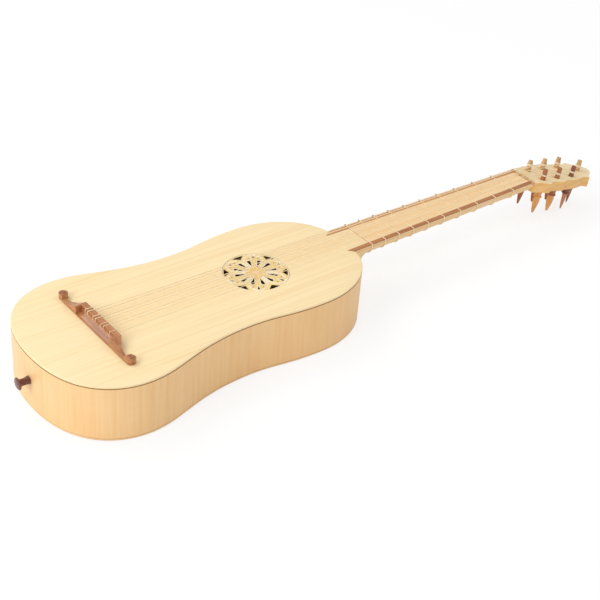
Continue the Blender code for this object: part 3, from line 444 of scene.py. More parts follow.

# %% [markdown]
# The head is flat; its sides are tan, partly from end grain, which drinks more oil, and partly as
# painted shade. The direction that a face looks in picks the tone: faces that look up are pale, the
# sides are tan.

# %% Head maple, with darker sides


def make_head_maple():
    """Pale face and tan sides, partly end grain and partly painted shade: the mix follows how far the
    surface turns away from up.
    """
    finish, tree, shader = new_finish("head_maple", roughness=0.42, coat=0.15)
    where = add_node(tree, "ShaderNodeTexCoord")
    lines = stretched_noise(tree, where.outputs["Object"], (300.0, 9.0, 300.0),
                            detail=4.0, rough=0.6, distortion=0.3)
    look_up = one_axis(tree, where.outputs["Normal"], "Z")
    face = mixed(tree, grey_ramp(tree, lines, 0.35, 0.7), (0.985, 0.810, 0.500), (0.940, 0.720, 0.400))
    side = mixed(tree, grey_ramp(tree, lines, 0.3, 0.7), (0.950, 0.580, 0.210), (0.800, 0.430, 0.120))
    # Painted shade, together with end grain: faces that turn away from up take the darker tan.
    tone = mixed(tree, grey_ramp(tree, look_up, 0.45, 0.85), side, face)
    finish_off(tree, shader, tone, lines, strength=0.08, depth=0.0001, rough=(0.36, 0.48))
    return finish


HEAD_MAPLE = make_head_maple()

# %% [markdown]
# Plum wood serves for the bridge, the strips beside the fingerboard, the nut and the pegs. It is one
# recipe with different tones, so one function makes them all; the far strip's lighter tone is painted
# sheen. The bridge runs across the guitar, and so does its grain. The strips are only a thin veneer of
# plum, so the maple under it shows at their edge.

# %% Plum in several tones
ALONG_X = (12.0, 330.0, 330.0)
ALONG_Y = (330.0, 10.0, 330.0)
ALONG_Z = (420.0, 420.0, 30.0)
STRIP_VENEER = 0.0009
VENEER_EASE = 0.0001


def make_plum(name, light, dark, along, roughness=0.36, coat=0.35, layer=None):
    """Streaked plum with fine pores; where a layer is given, it is a veneer that thick on maple."""
    finish, tree, shader = new_finish(name, roughness, coat)
    place = object_place(tree)
    streaks = stretched_noise(tree, place, along, detail=4.0, rough=0.62, distortion=0.5)
    pores = stretched_noise(tree, place, tuple(3.0 * s for s in along), detail=2.0, rough=0.5)
    tone = mixed(tree, grey_ramp(tree, streaks, 0.36, 0.68), light, dark)
    tone = mixed(tree, 0.18, tone, pores, "SOFT_LIGHT")
    if layer is not None:
        height = one_axis(tree, place, "Z")
        veneer = between(tree, height, TOP_Z - layer, TOP_Z - layer + VENEER_EASE)
        tone = mixed(tree, veneer, (0.940, 0.650, 0.330), tone)
    spread = (roughness - 0.06, roughness + 0.08)
    finish_off(tree, shader, tone, pores, strength=0.10, depth=0.0001, rough=spread)
    return finish


STRIP_PLUM = make_plum("strip_plum", (0.540, 0.225, 0.070), (0.360, 0.115, 0.030), ALONG_Y,
                       layer=STRIP_VENEER)
# Painted sheen: the far strip gets a lighter plum than the near one.
FAR_STRIP_SHEENED_PLUM = make_plum("far_strip_plum_painted_sheen", (0.760, 0.400, 0.160), (0.560, 0.250, 0.085), ALONG_Y,
                           layer=STRIP_VENEER)
BRIDGE_PLUM = make_plum("bridge_plum", (0.560, 0.240, 0.090), (0.340, 0.115, 0.038), ALONG_X, 0.3, 0.6)
NUT_PLUM = make_plum("nut_plum", (0.700, 0.430, 0.190), (0.520, 0.280, 0.110), ALONG_X)
PIN_PLUM = make_plum("pin_plum", (0.180, 0.045, 0.025), (0.080, 0.015, 0.010), ALONG_Y, 0.28, 0.6)
print("plum finishes ready")

# %% [markdown]
# The pegs were turned from odd pieces of plum, and each was oiled by many hands. The shaft, the drum
# below the head and the leaf differ in tone. How far a point is above the head's face, measured square
# to it, picks the tone.

# %% Peg finishes
LEAF_TONE_DEPTH = 0.0225
TONE_EASE = 0.0010


def make_peg_plum(name, shaft, drum, leaf):
    """Three tones along the peg: its shaft in the head, the drum and collar below that, the leaf."""
    finish, tree, shader = new_finish(name, roughness=0.34, coat=0.4)
    place = object_place(tree)
    upward = add_node(tree, "ShaderNodeVectorMath", [(place, 0)], operation="DOT_PRODUCT")
    upward.inputs[1].default_value = HEAD_UP
    face_level = NUT_Y * HEAD_UP[1] + TOP_Z * HEAD_UP[2]
    height = math_node(tree, "SUBTRACT", upward.outputs["Value"], face_level)
    streaks = stretched_noise(tree, place, ALONG_Z, detail=4.0, rough=0.62, distortion=0.5)
    above_leaf = between(tree, height, -LEAF_TONE_DEPTH - TONE_EASE, -LEAF_TONE_DEPTH + TONE_EASE)
    in_head = between(tree, height, -HEAD_THICKNESS - TONE_EASE, -HEAD_THICKNESS + TONE_EASE)
    tone = mixed(tree, in_head, mixed(tree, above_leaf, leaf, drum), shaft)
    darker = mixed(tree, 1.0, tone, (0.66, 0.52, 0.42), "MULTIPLY")
    tone = mixed(tree, grey_ramp(tree, streaks, 0.38, 0.72), tone, darker)
    finish_off(tree, shader, tone, streaks, strength=0.08, depth=0.0001, rough=(0.28, 0.42))
    return finish


TAN = (0.700, 0.420, 0.170)
ORANGE = (0.880, 0.430, 0.110)
RED_BROWN = (0.440, 0.150, 0.045)
DARK_BROWN = (0.260, 0.080, 0.028)
RUSSET = (0.640, 0.250, 0.070)
PEG_TONES = {
    "4b": (TAN, RED_BROWN, RED_BROWN),
    "4a": (TAN, RED_BROWN, RED_BROWN),
    "3a": (TAN, RED_BROWN, RED_BROWN),
    "3b": (TAN, DARK_BROWN, RED_BROWN),
    "1": (RED_BROWN, ORANGE, ORANGE),
    "2b": (RED_BROWN, RED_BROWN, ORANGE),
    "2a": (DARK_BROWN, DARK_BROWN, RUSSET),
}
PEG_PLUM = {string: make_peg_plum("peg_plum_" + string, *tones) for string, tones in PEG_TONES.items()}
print("peg finishes ready:", len(PEG_PLUM))

# %% [markdown]
# Gut is dried and twisted, pale amber and a little cloudy. A knot's ends are singed so that they don't
# slip.

# %% Gut, singed gut and inside wood


def make_gut(name, light, shade, roughness=0.38):
    """Cloudy pale gut."""
    finish, tree, shader = new_finish(name, roughness, coat=0.2)
    cloud = stretched_noise(tree, object_place(tree), (500.0, 60.0, 500.0), detail=3.0)
    tone = mixed(tree, grey_ramp(tree, cloud, 0.3, 0.7), light, shade)
    finish_off(tree, shader, tone, cloud, strength=0.05, depth=0.00005)
    return finish


def make_inside_wood():
    """Bare willow: soft lines, no varnish."""
    finish, tree, shader = new_finish("bare_willow", roughness=0.7)
    lines = stretched_noise(tree, object_place(tree), (60.0, 240.0, 300.0), detail=3.0)
    tone = mixed(tree, grey_ramp(tree, lines, 0.3, 0.7), (0.74, 0.56, 0.34), (0.62, 0.44, 0.24))
    finish_off(tree, shader, tone, lines, strength=0.1, depth=0.0001)
    return finish


def make_iron():
    """Forged iron, dull and uneven."""
    finish, tree, shader = new_finish("forged_iron", roughness=0.5)
    shader.inputs["Metallic"].default_value = 1.0
    patches = stretched_noise(tree, object_place(tree), (600.0, 600.0, 600.0), detail=4.0)
    tone = mixed(tree, patches, (0.26, 0.24, 0.23), (0.14, 0.12, 0.11))
    finish_off(tree, shader, tone, patches, strength=0.3, depth=0.0002)
    return finish


GUT = make_gut("string_gut", (0.970, 0.820, 0.560), (0.900, 0.700, 0.420))
FRET_GUT = make_gut("fret_gut", (0.990, 0.860, 0.640), (0.950, 0.760, 0.500))
SINGED = make_gut("singed_gut", (0.200, 0.130, 0.080), (0.100, 0.060, 0.035), 0.6)
WILLOW = make_inside_wood()
IRON = make_iron()
print("gut, willow and iron ready")

# %% [markdown]
# ## The body's outline
#
# The outline is four cubic curves from the middle of the tail to the side of the neck: round the lower
# bout, in to the waist, out to the upper bout, and over the shoulder. Each curve sets off in the
# direction in which the last one ends, so the rib can follow them in one bend.

# %% Outline of the body
TAIL_TO_LOWER = 0.0745
LOWER_TO_WAIST = 0.1239
WAIST_TO_UPPER = 0.0852
UPPER_TO_NECK = 0.0802
LOWER_HALF = 0.0919
WAIST_HALF = 0.0702
UPPER_HALF = 0.0778
TAIL_Y = -NECK_LENGTH - TAIL_TO_LOWER - LOWER_TO_WAIST - WAIST_TO_UPPER - UPPER_TO_NECK
BOUT_STEPS = 30
# How far each curve runs straight on at its ends, as a share of its stretch.
TAIL_FULLNESS = 0.85
LOWER_TAIL_FULLNESS = 0.34
LOWER_WAIST_FULLNESS = 0.30
WAIST_LOWER_FULLNESS = 0.53
WAIST_UPPER_FULLNESS = 0.37
UPPER_WAIST_FULLNESS = 0.50
UPPER_NECK_FULLNESS = 0.65
SHOULDER_FULLNESS = 0.36
# A corner's mitre grows no longer once 1 plus the cosine of its turn falls below this.
MITRE_LIMIT = 0.4


def cubic(start, start_handle, end_handle, end, steps):
    """(1-t)^3 a + 3t(1-t)^2 b + 3t^2(1-t) c + t^3 d, without the last point."""
    t = np.linspace(0.0, 1.0, steps, endpoint=False)[:, None]
    a, b, c, d = (np.array(p) for p in (start, start_handle, end_handle, end))
    return (1 - t) ** 3 * a + 3 * t * (1 - t) ** 2 * b + 3 * t ** 2 * (1 - t) * c + t ** 3 * d


def body_half():
    """Treble half of the outline, from the middle of the tail to the side of the neck."""
    lower = TAIL_Y + TAIL_TO_LOWER
    waist = lower + LOWER_TO_WAIST
    upper = waist + WAIST_TO_UPPER
    joint = -NECK_LENGTH
    shoulder_x = HEEL_HALF + (UPPER_HALF - HEEL_HALF) * SHOULDER_FULLNESS
    curves = (
        ((0.0, TAIL_Y), (LOWER_HALF * TAIL_FULLNESS, TAIL_Y),
         (LOWER_HALF, lower - TAIL_TO_LOWER * LOWER_TAIL_FULLNESS), (LOWER_HALF, lower)),
        ((LOWER_HALF, lower), (LOWER_HALF, lower + LOWER_TO_WAIST * LOWER_WAIST_FULLNESS),
         (WAIST_HALF, waist - LOWER_TO_WAIST * WAIST_LOWER_FULLNESS), (WAIST_HALF, waist)),
        ((WAIST_HALF, waist), (WAIST_HALF, waist + WAIST_TO_UPPER * WAIST_UPPER_FULLNESS),
         (UPPER_HALF, upper - WAIST_TO_UPPER * UPPER_WAIST_FULLNESS), (UPPER_HALF, upper)),
        ((UPPER_HALF, upper), (UPPER_HALF, upper + UPPER_TO_NECK * UPPER_NECK_FULLNESS),
         (shoulder_x, joint), (HEEL_HALF, joint)),
    )
    return np.vstack([cubic(*curve, BOUT_STEPS) for curve in curves] + [[(HEEL_HALF, joint)]])


HALF = body_half()


def whole_loop(half):
    """Both sides of an outline whose first point lies on the middle line."""
    return np.vstack([half, half[:0:-1] * (-1, 1)])


def inset(loop, distance):
    """Moves each corner of a closed loop inwards along the middle of its two sides' normals."""
    run = unit(np.roll(loop, -1, axis=0) - loop)
    ahead = np.column_stack([-run[:, 1], run[:, 0]])
    behind = np.roll(ahead, 1, axis=0)
    corner = ahead + behind
    corner /= np.maximum((corner * ahead).sum(axis=1), MITRE_LIMIT)[:, None]
    return loop + corner * distance


print("outline points:", len(whole_loop(HALF)))

# %% [markdown]
# ## Soundboard and back
#
# A plate is a set of rings that run round the outline: across the face, over the rounded rim, along the
# underside and back. The rings of the soundboard end at the round sound hole, where they run down
# through the board, so the plate is one closed skin. Its outline goes out over a tongue between the two
# dark strips, up to the last fret.

# %% Plates
RIM_ROUNDING = 0.0011
RIM_STEPS = 5
# One more ring on the face lies this share of the way from the rose's middle to the rim.
FACE_RING = 0.75
# The back has no hole: it starts with this small ring, which a fan closes.
BACK_RING_RADIUS = 0.004


def at_height(flat, z):
    """The points of a flat outline, all at one height."""
    return np.column_stack([flat, np.full(len(flat), z)])


def plate_rings(loop, low, high, hole_radius):
    """Rings over the face, the rim and the underside; the rim is a quarter circle at each edge."""
    turn = np.linspace(0.0, math.pi / 2, RIM_STEPS)
    centre = np.array((0.0, ROSE_Y))
    hole = centre + unit(loop - centre) * hole_radius
    edge = [(RIM_ROUNDING * (1 - math.sin(a)), high - RIM_ROUNDING * (1 - math.cos(a))) for a in turn]
    edge += [(back, low + high - z) for back, z in edge[::-1]]
    rings = [(hole, low), (hole, high), (centre + (loop - centre) * FACE_RING, high)]
    rings += [(inset(loop, back), z) for back, z in edge]
    return from_nut(np.stack([at_height(flat, z) for flat, z in rings]))


def strip_end_y(x):
    """The slanted line where the soundboard stops for an edge strip."""
    return -NECK_LENGTH - (HEEL_HALF - x) * STRIP_POINT / STRIP_WIDTH


def neck_half_at(y):
    """Half the neck's width: it grows evenly from the nut to the body."""
    return NUT_HALF + (HEEL_HALF - NUT_HALF) * (-y / NECK_LENGTH)


def board_loop():
    """The body's outline with the tongue that runs up between the edge strips."""
    tongue_end = fret_y(FRET_COUNT) - GAP
    notch_x = HEEL_HALF - STRIP_WIDTH - GAP
    tongue_x = neck_half_at(tongue_end) - STRIP_WIDTH - GAP
    return whole_loop(np.vstack([HALF, [(notch_x, strip_end_y(notch_x)), (tongue_x, tongue_end)]]))


board = plate_rings(board_loop(), TOP_Z - BOARD_THICKNESS, TOP_Z, ROSE_RADIUS)
grid_piece("soundboard_plate", board, BODY, SPRUCE, ["soundboard"], wrap_rows=True)
back = plate_rings(whole_loop(HALF), 0.0, BACK_THICKNESS, BACK_RING_RADIUS)
grid_piece("back_plate", back[1:], BODY, BACK_MAPLE, ["back"])
print("plates made, rings:", len(board))

# %% [markdown]
# ## Ribs
#
# Each rib is a thin strip that stands on the outline. Its cross-section is a narrow rectangle, carried
# along half of the outline and closed at both ends. The rib keeps a map of its own, distance along it
# against height, for the flame.

# %% Ribs
FRONT_STEPS = 5
RIB_ROWS = 9
front_x = np.linspace(HEEL_HALF, 0.0, FRONT_STEPS, endpoint=False)[1:]
wall_half = np.vstack([HALF, np.column_stack([front_x, np.full_like(front_x, -NECK_LENGTH)])])
wall_inner = inset(whole_loop(wall_half), RIB_THICKNESS)[:len(wall_half)]


def rib_grid(side):
    """Four corners carried along half the outline: outer low, outer high, inner high, inner low."""
    outer = wall_half * (side, 1)
    inner = wall_inner * (side, 1)
    heights = np.linspace(BACK_THICKNESS, TOP_Z - BOARD_THICKNESS, RIB_ROWS)
    lines = [(outer, z) for z in heights] + [(inner, z) for z in heights[::-1]]
    grid = np.stack([at_height(flat, z) for flat, z in lines], axis=1)
    steps = np.linalg.norm(np.diff(outer, axis=0), axis=1)
    distance = np.concatenate([[0.0], np.cumsum(steps)])
    # The side moves each rib's map a metre away from the middle, so the two show different flames.
    uv = np.stack([np.repeat(distance[:, None] + side, grid.shape[1], axis=1), grid[:, :, 2]], axis=-1)
    return from_nut(grid), uv.reshape(-1, 2)


for rib_name, side in (("rib_bass", -1.0), ("rib_treble", 1.0)):
    grid, uv = rib_grid(side)
    grid_piece(rib_name + "_wall", grid, BODY, RIB_MAPLE, [rib_name], uv=uv)
print("ribs made")

# %% [markdown]
# ## Neck and heel
#
# The underside of the neck is a superellipse: |x / half width| to the power n, plus |z / depth| to the
# power n, equals one. With n a little over two it is rounder than a box and fuller than an ellipse, and
# the thumb slides along it. The heel sweeps down to the back along a quarter of a cosine.

# %% Neck
NUT_DEPTH = 0.0111
HEEL_DEPTH = 0.0126
HEEL_LENGTH = 0.0198
HEEL_FOOT = 0.0070
HEEL_KEEL = 1.12
NECK_ROUNDNESS = 2.3
SECTION_STEPS = 40
NECK_RINGS = 16
FIRST_RING = 0.04
HEEL_RINGS = 21
NUT_THICKNESS = 0.0035
HEAD_START = (NUT_THICKNESS + GAP) * math.cos(HEAD_TILT) + BOARD_THICKNESS * math.sin(HEAD_TILT)


def neck_section(half, depth, y, shear=0.0):
    """One closed ring: the superellipse from edge to edge, then straight back across the top."""
    turn = np.linspace(0.0, math.pi, SECTION_STEPS + 1)
    power = 2.0 / NECK_ROUNDNESS
    x = half * np.sign(np.cos(turn)) * np.abs(np.cos(turn)) ** power
    z = np.maximum(-depth * np.abs(np.sin(turn)) ** power, -UNDER_BOARD_Z)
    return np.column_stack([x, y + shear * z, UNDER_BOARD_Z + z])


def neck_grid():
    """Sections from the head's slanted joint to the body."""
    slope = math.tan(HEAD_TILT)
    end = (HEAD_START - GAP) / math.cos(HEAD_TILT) + (UNDER_BOARD_Z - TOP_Z) * slope
    rings = [neck_section(NUT_HALF, NUT_DEPTH, end, slope)]
    heel_start = -NECK_LENGTH + HEEL_LENGTH
    for share in np.linspace(FIRST_RING, 1.0, NECK_RINGS):
        y = heel_start * share
        rings.append(neck_section(neck_half_at(y), NUT_DEPTH + (HEEL_DEPTH - NUT_DEPTH) * share, y))
    for turn in np.linspace(0.0, math.pi / 2, HEEL_RINGS + 1)[1:]:
        y = heel_start - (HEEL_LENGTH - HEEL_FOOT) * math.sin(turn)
        depth = HEEL_DEPTH + (UNDER_BOARD_Z * HEEL_KEEL - HEEL_DEPTH) * (1.0 - math.cos(turn))
        rings.append(neck_section(neck_half_at(y), depth, y))
    foot = -NECK_LENGTH + GAP
    rings.append(neck_section(neck_half_at(foot), UNDER_BOARD_Z * HEEL_KEEL, foot))
    return from_nut(np.stack(rings))


grid_piece("neck_and_heel", neck_grid(), BODY, NECK_MAPLE, ["neck"])
print("neck made")

# %% [markdown]
# ## Nut
#
# The nut is a bar with one edge rounded towards the head, where the strings turn down to their pegs.
# Seven shallow notches would be filled by the strings, so the bar stays whole here.

# %% Nut
NUT_PROUD = 0.0016
NUT_ROUNDING = 0.0018
NUT_ROUNDING_STEPS = 8
NUT_EASE = 0.0003
NUT_END_RING = 0.0004
nut_turn = np.linspace(0.0, math.pi / 2, NUT_ROUNDING_STEPS)
nut_height = BOARD_THICKNESS + NUT_PROUD
nut_profile = np.vstack([
    [(0.0, 0.0), (NUT_THICKNESS, 0.0)],
    np.column_stack([NUT_THICKNESS - NUT_ROUNDING * (1 - np.cos(nut_turn)),
                     nut_height - NUT_ROUNDING * (1 - np.sin(nut_turn))]),
    [(NUT_EASE, nut_height), (0.0, nut_height - NUT_EASE)],
]) + (0.0, TOP_Z - BOARD_THICKNESS)
nut_stations = (-NUT_HALF, -NUT_HALF + NUT_END_RING, NUT_HALF - NUT_END_RING, NUT_HALF)
nut_grid = np.stack([np.column_stack([np.full(len(nut_profile), x), nut_profile]) for x in nut_stations])
grid_piece("nut_bar", from_nut(nut_grid), BODY, NUT_PLUM, ["nut"])
print("nut made")

# %% [markdown]
# ## Head
#
# The head is a flat board sawn to a stepped outline and drilled for the pegs. Its solid already has the
# outline and the tapered holes, so it stays and only gets its finish. What the pegs and the strings
# need from it is its own plane, which tilts down behind the nut, and the places of the holes.

# %% The head's plane and the peg places
PEG_SIDE = 0.0120
PEG_FIRST_ROW = 0.0240
PEG_ROW_PITCH = 0.0252
PEG_LAST = 0.0990
PEG_TOP = 0.0130
PEG_TOP_RADIUS = 0.0026
PEG_SHOULDER_RADIUS = 0.0033
WINDING_FOOT = 0.0046
HIGH_WINDING_FOOT = 0.0062
# Of each string's peg: side, row, side of the shaft that the string meets, height of the winding
# above the head, and turn of the handle in degrees.
PEGS = {
    "4a": (-1, 1, -1, WINDING_FOOT, 35),
    "4b": (-1, 0, 1, HIGH_WINDING_FOOT, 80),
    "3a": (-1, 2, 1, WINDING_FOOT, 50),
    "3b": (0, 3, 1, WINDING_FOOT, 100),
    "2a": (1, 2, -1, WINDING_FOOT, 95),
    "2b": (1, 1, -1, WINDING_FOOT, 45),
    "1": (1, 0, -1, WINDING_FOOT, 60),
}


def on_head(points):
    """From the head's own plane, which tilts down behind the nut, to the guitar."""
    p = np.asarray(points, float)
    c, s = math.cos(HEAD_TILT), math.sin(HEAD_TILT)
    y = p[..., 1] * c + p[..., 2] * s
    z = p[..., 2] * c - p[..., 1] * s
    return from_nut(np.stack([p[..., 0], y, TOP_Z + z], axis=-1))


def peg_place(string):
    """Where a peg's axis meets the head's face."""
    side, row = PEGS[string][:2]
    return (0.0, PEG_LAST) if side == 0 else (side * PEG_SIDE, PEG_FIRST_ROW + row * PEG_ROW_PITCH)


def peg_radius_at(height):
    """The shaft's taper: an even change of radius from its top to the underside of the head."""
    share = (PEG_TOP - height) / (PEG_TOP + HEAD_THICKNESS)
    return PEG_TOP_RADIUS + (PEG_SHOULDER_RADIUS - PEG_TOP_RADIUS) * share


print("peg holes at", [tuple(round(v, 4) for v in peg_place(string)) for string in PEGS])

# %% [markdown]
# ## Pegs
#
# A peg is turned: a tapered shaft, a drum with a collar, and below it a leaf that the fingers turn. The
# leaf starts round and is pared flat, so across one direction the radius shrinks smoothly below the
# collar while the other keeps the turned outline. Each peg rides on its own body and can turn.

# %% Pegs
DRUM_REACH = 0.0080
DRUM_RADIUS = 0.0042
COLLAR_LENGTH = 0.0026
COLLAR_RADIUS = 0.0049
LEAF_HALF = 0.0042
LEAF_NECK = 1.02
LEAF_START = 0.06
LEAF_STEPS = 14
LEAF_FLATNESS = 0.42
PEG_BELOW = 0.0303
PARING_START = 0.0006
PARING_LENGTH = 0.0035
PEG_SIDES = 28
# Turned shapes from the top down: share of the part's radius, and depth below the part's own level.
SHAFT_TOP = ((0.35, 0.0), (0.80, 0.0001), (0.96, 0.0004), (1.0, 0.0009))
DRUM_TOP = ((0.90, 0.0), (0.98, 0.0004), (1.0, 0.0012), (0.97, 0.0040))
DRUM_FOOT = ((0.90, -0.0005),)
COLLAR = ((0.94, 0.0001), (1.0, 0.0006), (1.0, 0.0012), (0.90, 0.0018))
LEAF_TIP = ((0.30, -0.0006), (0.12, 0.0))
# Shares of the leaf's length and of its half width.
LEAF_SHAPE = np.array([(0.0, 0.76), (0.08, 0.92), (0.16, 1.0), (0.40, 0.88), (0.75, 0.56), (1.0, 0.26)])


def turned(shape, radius, level):
    """Radius and height of a turned shape that hangs from its level."""
    return [(radius * share, level - depth) for share, depth in shape]


def peg_profile():
    """Radius and height from the top of the shaft to the tip of the leaf, and the leaf's top."""
    collar = -HEAD_THICKNESS - DRUM_REACH
    leaf_top = collar - COLLAR_LENGTH
    tip = -HEAD_THICKNESS - PEG_BELOW
    profile = turned(SHAFT_TOP, PEG_TOP_RADIUS, PEG_TOP)
    profile += [(peg_radius_at(height), height) for height in (0.0, -HEAD_THICKNESS)]
    profile += turned(DRUM_TOP, DRUM_RADIUS, -HEAD_THICKNESS - GAP)
    profile += turned(DRUM_FOOT, DRUM_RADIUS, collar)
    profile += turned(COLLAR, COLLAR_RADIUS, collar)
    profile += [(PEG_SHOULDER_RADIUS * LEAF_NECK, leaf_top)]
    share = np.linspace(LEAF_START, 1.0, LEAF_STEPS)[:-1]
    width = np.interp(share, LEAF_SHAPE[:, 0], LEAF_SHAPE[:, 1])
    profile += zip(LEAF_HALF * width, leaf_top - (leaf_top - tip) * share)
    return np.array(profile + turned(LEAF_TIP, LEAF_HALF, tip)), leaf_top


def peg_grid(string):
    """radius(h) * (cos a, flat(h) * sin a); flat falls from 1 to LEAF_FLATNESS below the collar."""
    profile, leaf_top = peg_profile()
    turn = np.arange(PEG_SIDES) * 2 * math.pi / PEG_SIDES
    radius, height = profile[:, :1], profile[:, 1:]
    sunk = np.clip((leaf_top + PARING_START - height) / PARING_LENGTH, 0.0, 1.0)
    flat = 1.0 - (1.0 - LEAF_FLATNESS) * sunk * sunk * (3 - 2 * sunk)
    x = radius * np.cos(turn)
    y = radius * flat * np.sin(turn)
    spin = math.radians(PEGS[string][4])
    px, py = peg_place(string)
    return on_head(np.stack([px + x * math.cos(spin) - y * math.sin(spin),
                             py + x * math.sin(spin) + y * math.cos(spin),
                             np.broadcast_to(height, x.shape)], axis=-1))


for string in PEGS:
    grid_piece("turned_peg_" + string, peg_grid(string), "peg_body_" + string, PEG_PLUM[string],
               ["peg_" + string])
print("pegs made:", len(PEGS))

# %% [markdown]
# ## Strings and windings
#
# A string runs from the bridge over the nut to the side of its peg, touches it along a tangent and
# winds up it. The tangent point follows from plane geometry: a line from the nut to a circle touches it
# where the radius is square to the line. At the bridge the string goes through its hole, comes up
# behind the ledge and loops forward over it, a little to one side. The small knot that holds it there
# is left out.

# %% Strings and windings
# Of each string: name, radius, and its place across the bridge and across the nut.
STRINGS = (
    ("4a", 0.00042, -0.0214, -0.01535),
    ("4b", 0.00042, -0.0170, -0.0124),
    ("3a", 0.00038, -0.0076, -0.0058),
    ("3b", 0.00038, -0.0032, -0.0029),
    ("2a", 0.00033, 0.0064, 0.0036),
    ("2b", 0.00033, 0.0108, 0.0065),
    ("1", 0.00028, 0.0214, 0.0140),
)
NUT_REST = 0.0009
BRIDGE_HEIGHT = 0.0090
LEDGE_DEPTH = 0.0062
HOLE_HEIGHT = 0.0052
STRING_BEND = 0.0011
WINDING_TURNS = 3.4
WINDING_STEPS = 20
# In radii of the string: the rise of one turn, and how far the loop leans to the side and stays up.
WINDING_RISE = 2.15
LOOP_LEAN = 2.6
LOOP_LIFT = 5
# Share of its lean that the loop has where it comes up behind the ledge.
LOOP_START = 0.2


def nut_point(radius, nut_x):
    """Where the middle line of a string bends over the nut."""
    return (nut_x, NUT_REST, TOP_Z + NUT_PROUD + GAP + radius)


def touch_point(string, radius, nut_x):
    """Tangent point on the winding's circle, the angle there, the way round, and the circle's radius."""
    centre = np.array(peg_place(string))
    meets, height = PEGS[string][2:4]
    _, nut_y, nut_z = nut_point(radius, nut_x)
    start = np.array((nut_x, nut_y * math.cos(HEAD_TILT) - (nut_z - TOP_Z) * math.sin(HEAD_TILT)))
    away = centre - start
    around = peg_radius_at(height) + radius
    length = np.linalg.norm(away)
    heading = math.atan2(away[1], away[0]) - meets * math.asin(around / length)
    reach = math.sqrt(length ** 2 - around ** 2)
    touch = start + reach * np.array((math.cos(heading), math.sin(heading)))
    angle = math.atan2(touch[1] - centre[1], touch[0] - centre[0])
    sense = math.copysign(1.0, math.sin(heading - angle))
    return np.array((*touch, height)), angle, sense, around


def string_path(string, radius, bridge_x, nut_x):
    """Corners of the string's way from its loop over the bridge to its peg, eased afterwards."""
    hole_z = TOP_Z + HOLE_HEIGHT
    over_z = TOP_Z + BRIDGE_HEIGHT + GAP + radius
    front = -STRING_LENGTH
    behind = front - LEDGE_DEPTH - GAP - radius
    ahead = front + GAP + radius
    lean = LOOP_LEAN * radius
    path = [(bridge_x + lean, ahead, hole_z + LOOP_LIFT * radius), (bridge_x + lean, ahead, over_z),
            (bridge_x + lean * LOOP_START, behind, over_z), (bridge_x, behind, hole_z),
            (bridge_x, front, hole_z), nut_point(radius, nut_x)]
    return np.vstack([from_nut(path), on_head(touch_point(string, radius, nut_x)[0])])


def winding_path(string, radius, nut_x):
    """A helix: the angle grows evenly, and each turn rises by a little over one thickness."""
    touch, angle, sense, around = touch_point(string, radius, nut_x)
    x, y = peg_place(string)
    turn = np.linspace(0.0, WINDING_TURNS * 2 * math.pi, int(WINDING_TURNS * WINDING_STEPS))
    place = angle + sense * turn
    rise = WINDING_RISE * radius / (2 * math.pi)
    return on_head(np.column_stack([x + around * np.cos(place), y + around * np.sin(place),
                                    touch[2] + rise * turn]))


for string, radius, bridge_x, nut_x in STRINGS:
    path = rounded(string_path(string, radius, bridge_x, nut_x), STRING_BEND)
    wires_piece("gut_string_" + string, path[None], radius, ACROSS, BODY, GUT,
                ["string_" + string])
    turns = winding_path(string, radius, nut_x)
    wires_piece("gut_winding_" + string, turns[None], radius, HEAD_UP, "peg_body_" + string,
                FRET_GUT, ["winding_" + string])
print("strings made:", len(STRINGS))

# %% [markdown]
# ## Tied frets
#
# A fret is a length of gut tied round the neck. It runs flat over the board, down the sides and under
# the neck along the same superellipse as the neck itself, one radius further out. The knot sits at the
# bass edge, with two short ends that are singed dark.

# %% Frets
FRET_RADIUS = 0.00045
FRET_PLAY = 0.3 * GAP
FRET_OFF = FRET_RADIUS + FRET_PLAY
FRET_STEPS = 7
CORNER_DROP = 0.0004
CORNER_IN = 0.3
CORNER_UP = 0.7
FLAT_FROM = 3
KNOT_RADIUS = 0.00036
KNOT_STEPS = 14
KNOT_SHIFT = 0.0004
KNOT_OUT = 0.00075
KNOT_SLANT = 0.0006
KNOT_TALL = 0.00085
KNOT_MIDDLE = (-0.0001, 0.0, -0.0002)
KNOT_STEADY = (0.3, 0.9, 0.1)
# Where the two cut ends leave the knot, and the way that each leans.
END_STARTS = np.array([(0.0, -0.0005, 0.0002), (0.0, 0.0005, -0.0005)])
END_WAYS = np.array([(-0.45, -0.5, 0.75), (-0.8, 0.4, -0.3)])
END_LENGTH = 0.0016
END_RADIUS = 0.00038
END_STEPS = 5
END_STEADY = (0.2, 1.0, 0.5)


def fret_path(number):
    """Closed loop round the neck at a fret's place: under it, then over its two edges and the board."""
    y = fret_y(number)
    half = neck_half_at(y) + FRET_OFF
    share = -y / (NECK_LENGTH - HEEL_LENGTH)
    depth = NUT_DEPTH + (HEEL_DEPTH - NUT_DEPTH) * share + FRET_OFF
    top = TOP_Z + FRET_OFF
    corner = np.array([(-half, y, TOP_Z - CORNER_DROP),
                       (-half + CORNER_IN * FRET_OFF, y, TOP_Z + CORNER_UP * FRET_OFF),
                       (-half + FRET_OFF, y, top)])
    flat_end = half - FLAT_FROM * FRET_OFF
    across = [(x, y, top) for x in np.linspace(-flat_end, flat_end, FRET_STEPS)]
    return np.vstack([neck_section(half, depth, y), corner, across, corner[::-1] * (-1, 1, 1)])


def bass_edge(number):
    """Where a fret's middle line passes the bass edge of the neck."""
    y = fret_y(number)
    return np.array((-neck_half_at(y) - FRET_RADIUS, y, TOP_Z))


def knot_paths(number):
    """Two short slanting wraps, one above the other, round the fret at the bass edge."""
    turn = np.arange(KNOT_STEPS) * 2 * math.pi / KNOT_STEPS
    wrap = np.column_stack([KNOT_OUT * np.cos(turn), KNOT_SLANT * np.cos(turn),
                            KNOT_TALL * np.sin(turn)])
    middle = bass_edge(number) + KNOT_MIDDLE
    return np.stack([wrap + middle + (0.0, 0.0, shift) for shift in (-KNOT_SHIFT, KNOT_SHIFT)])


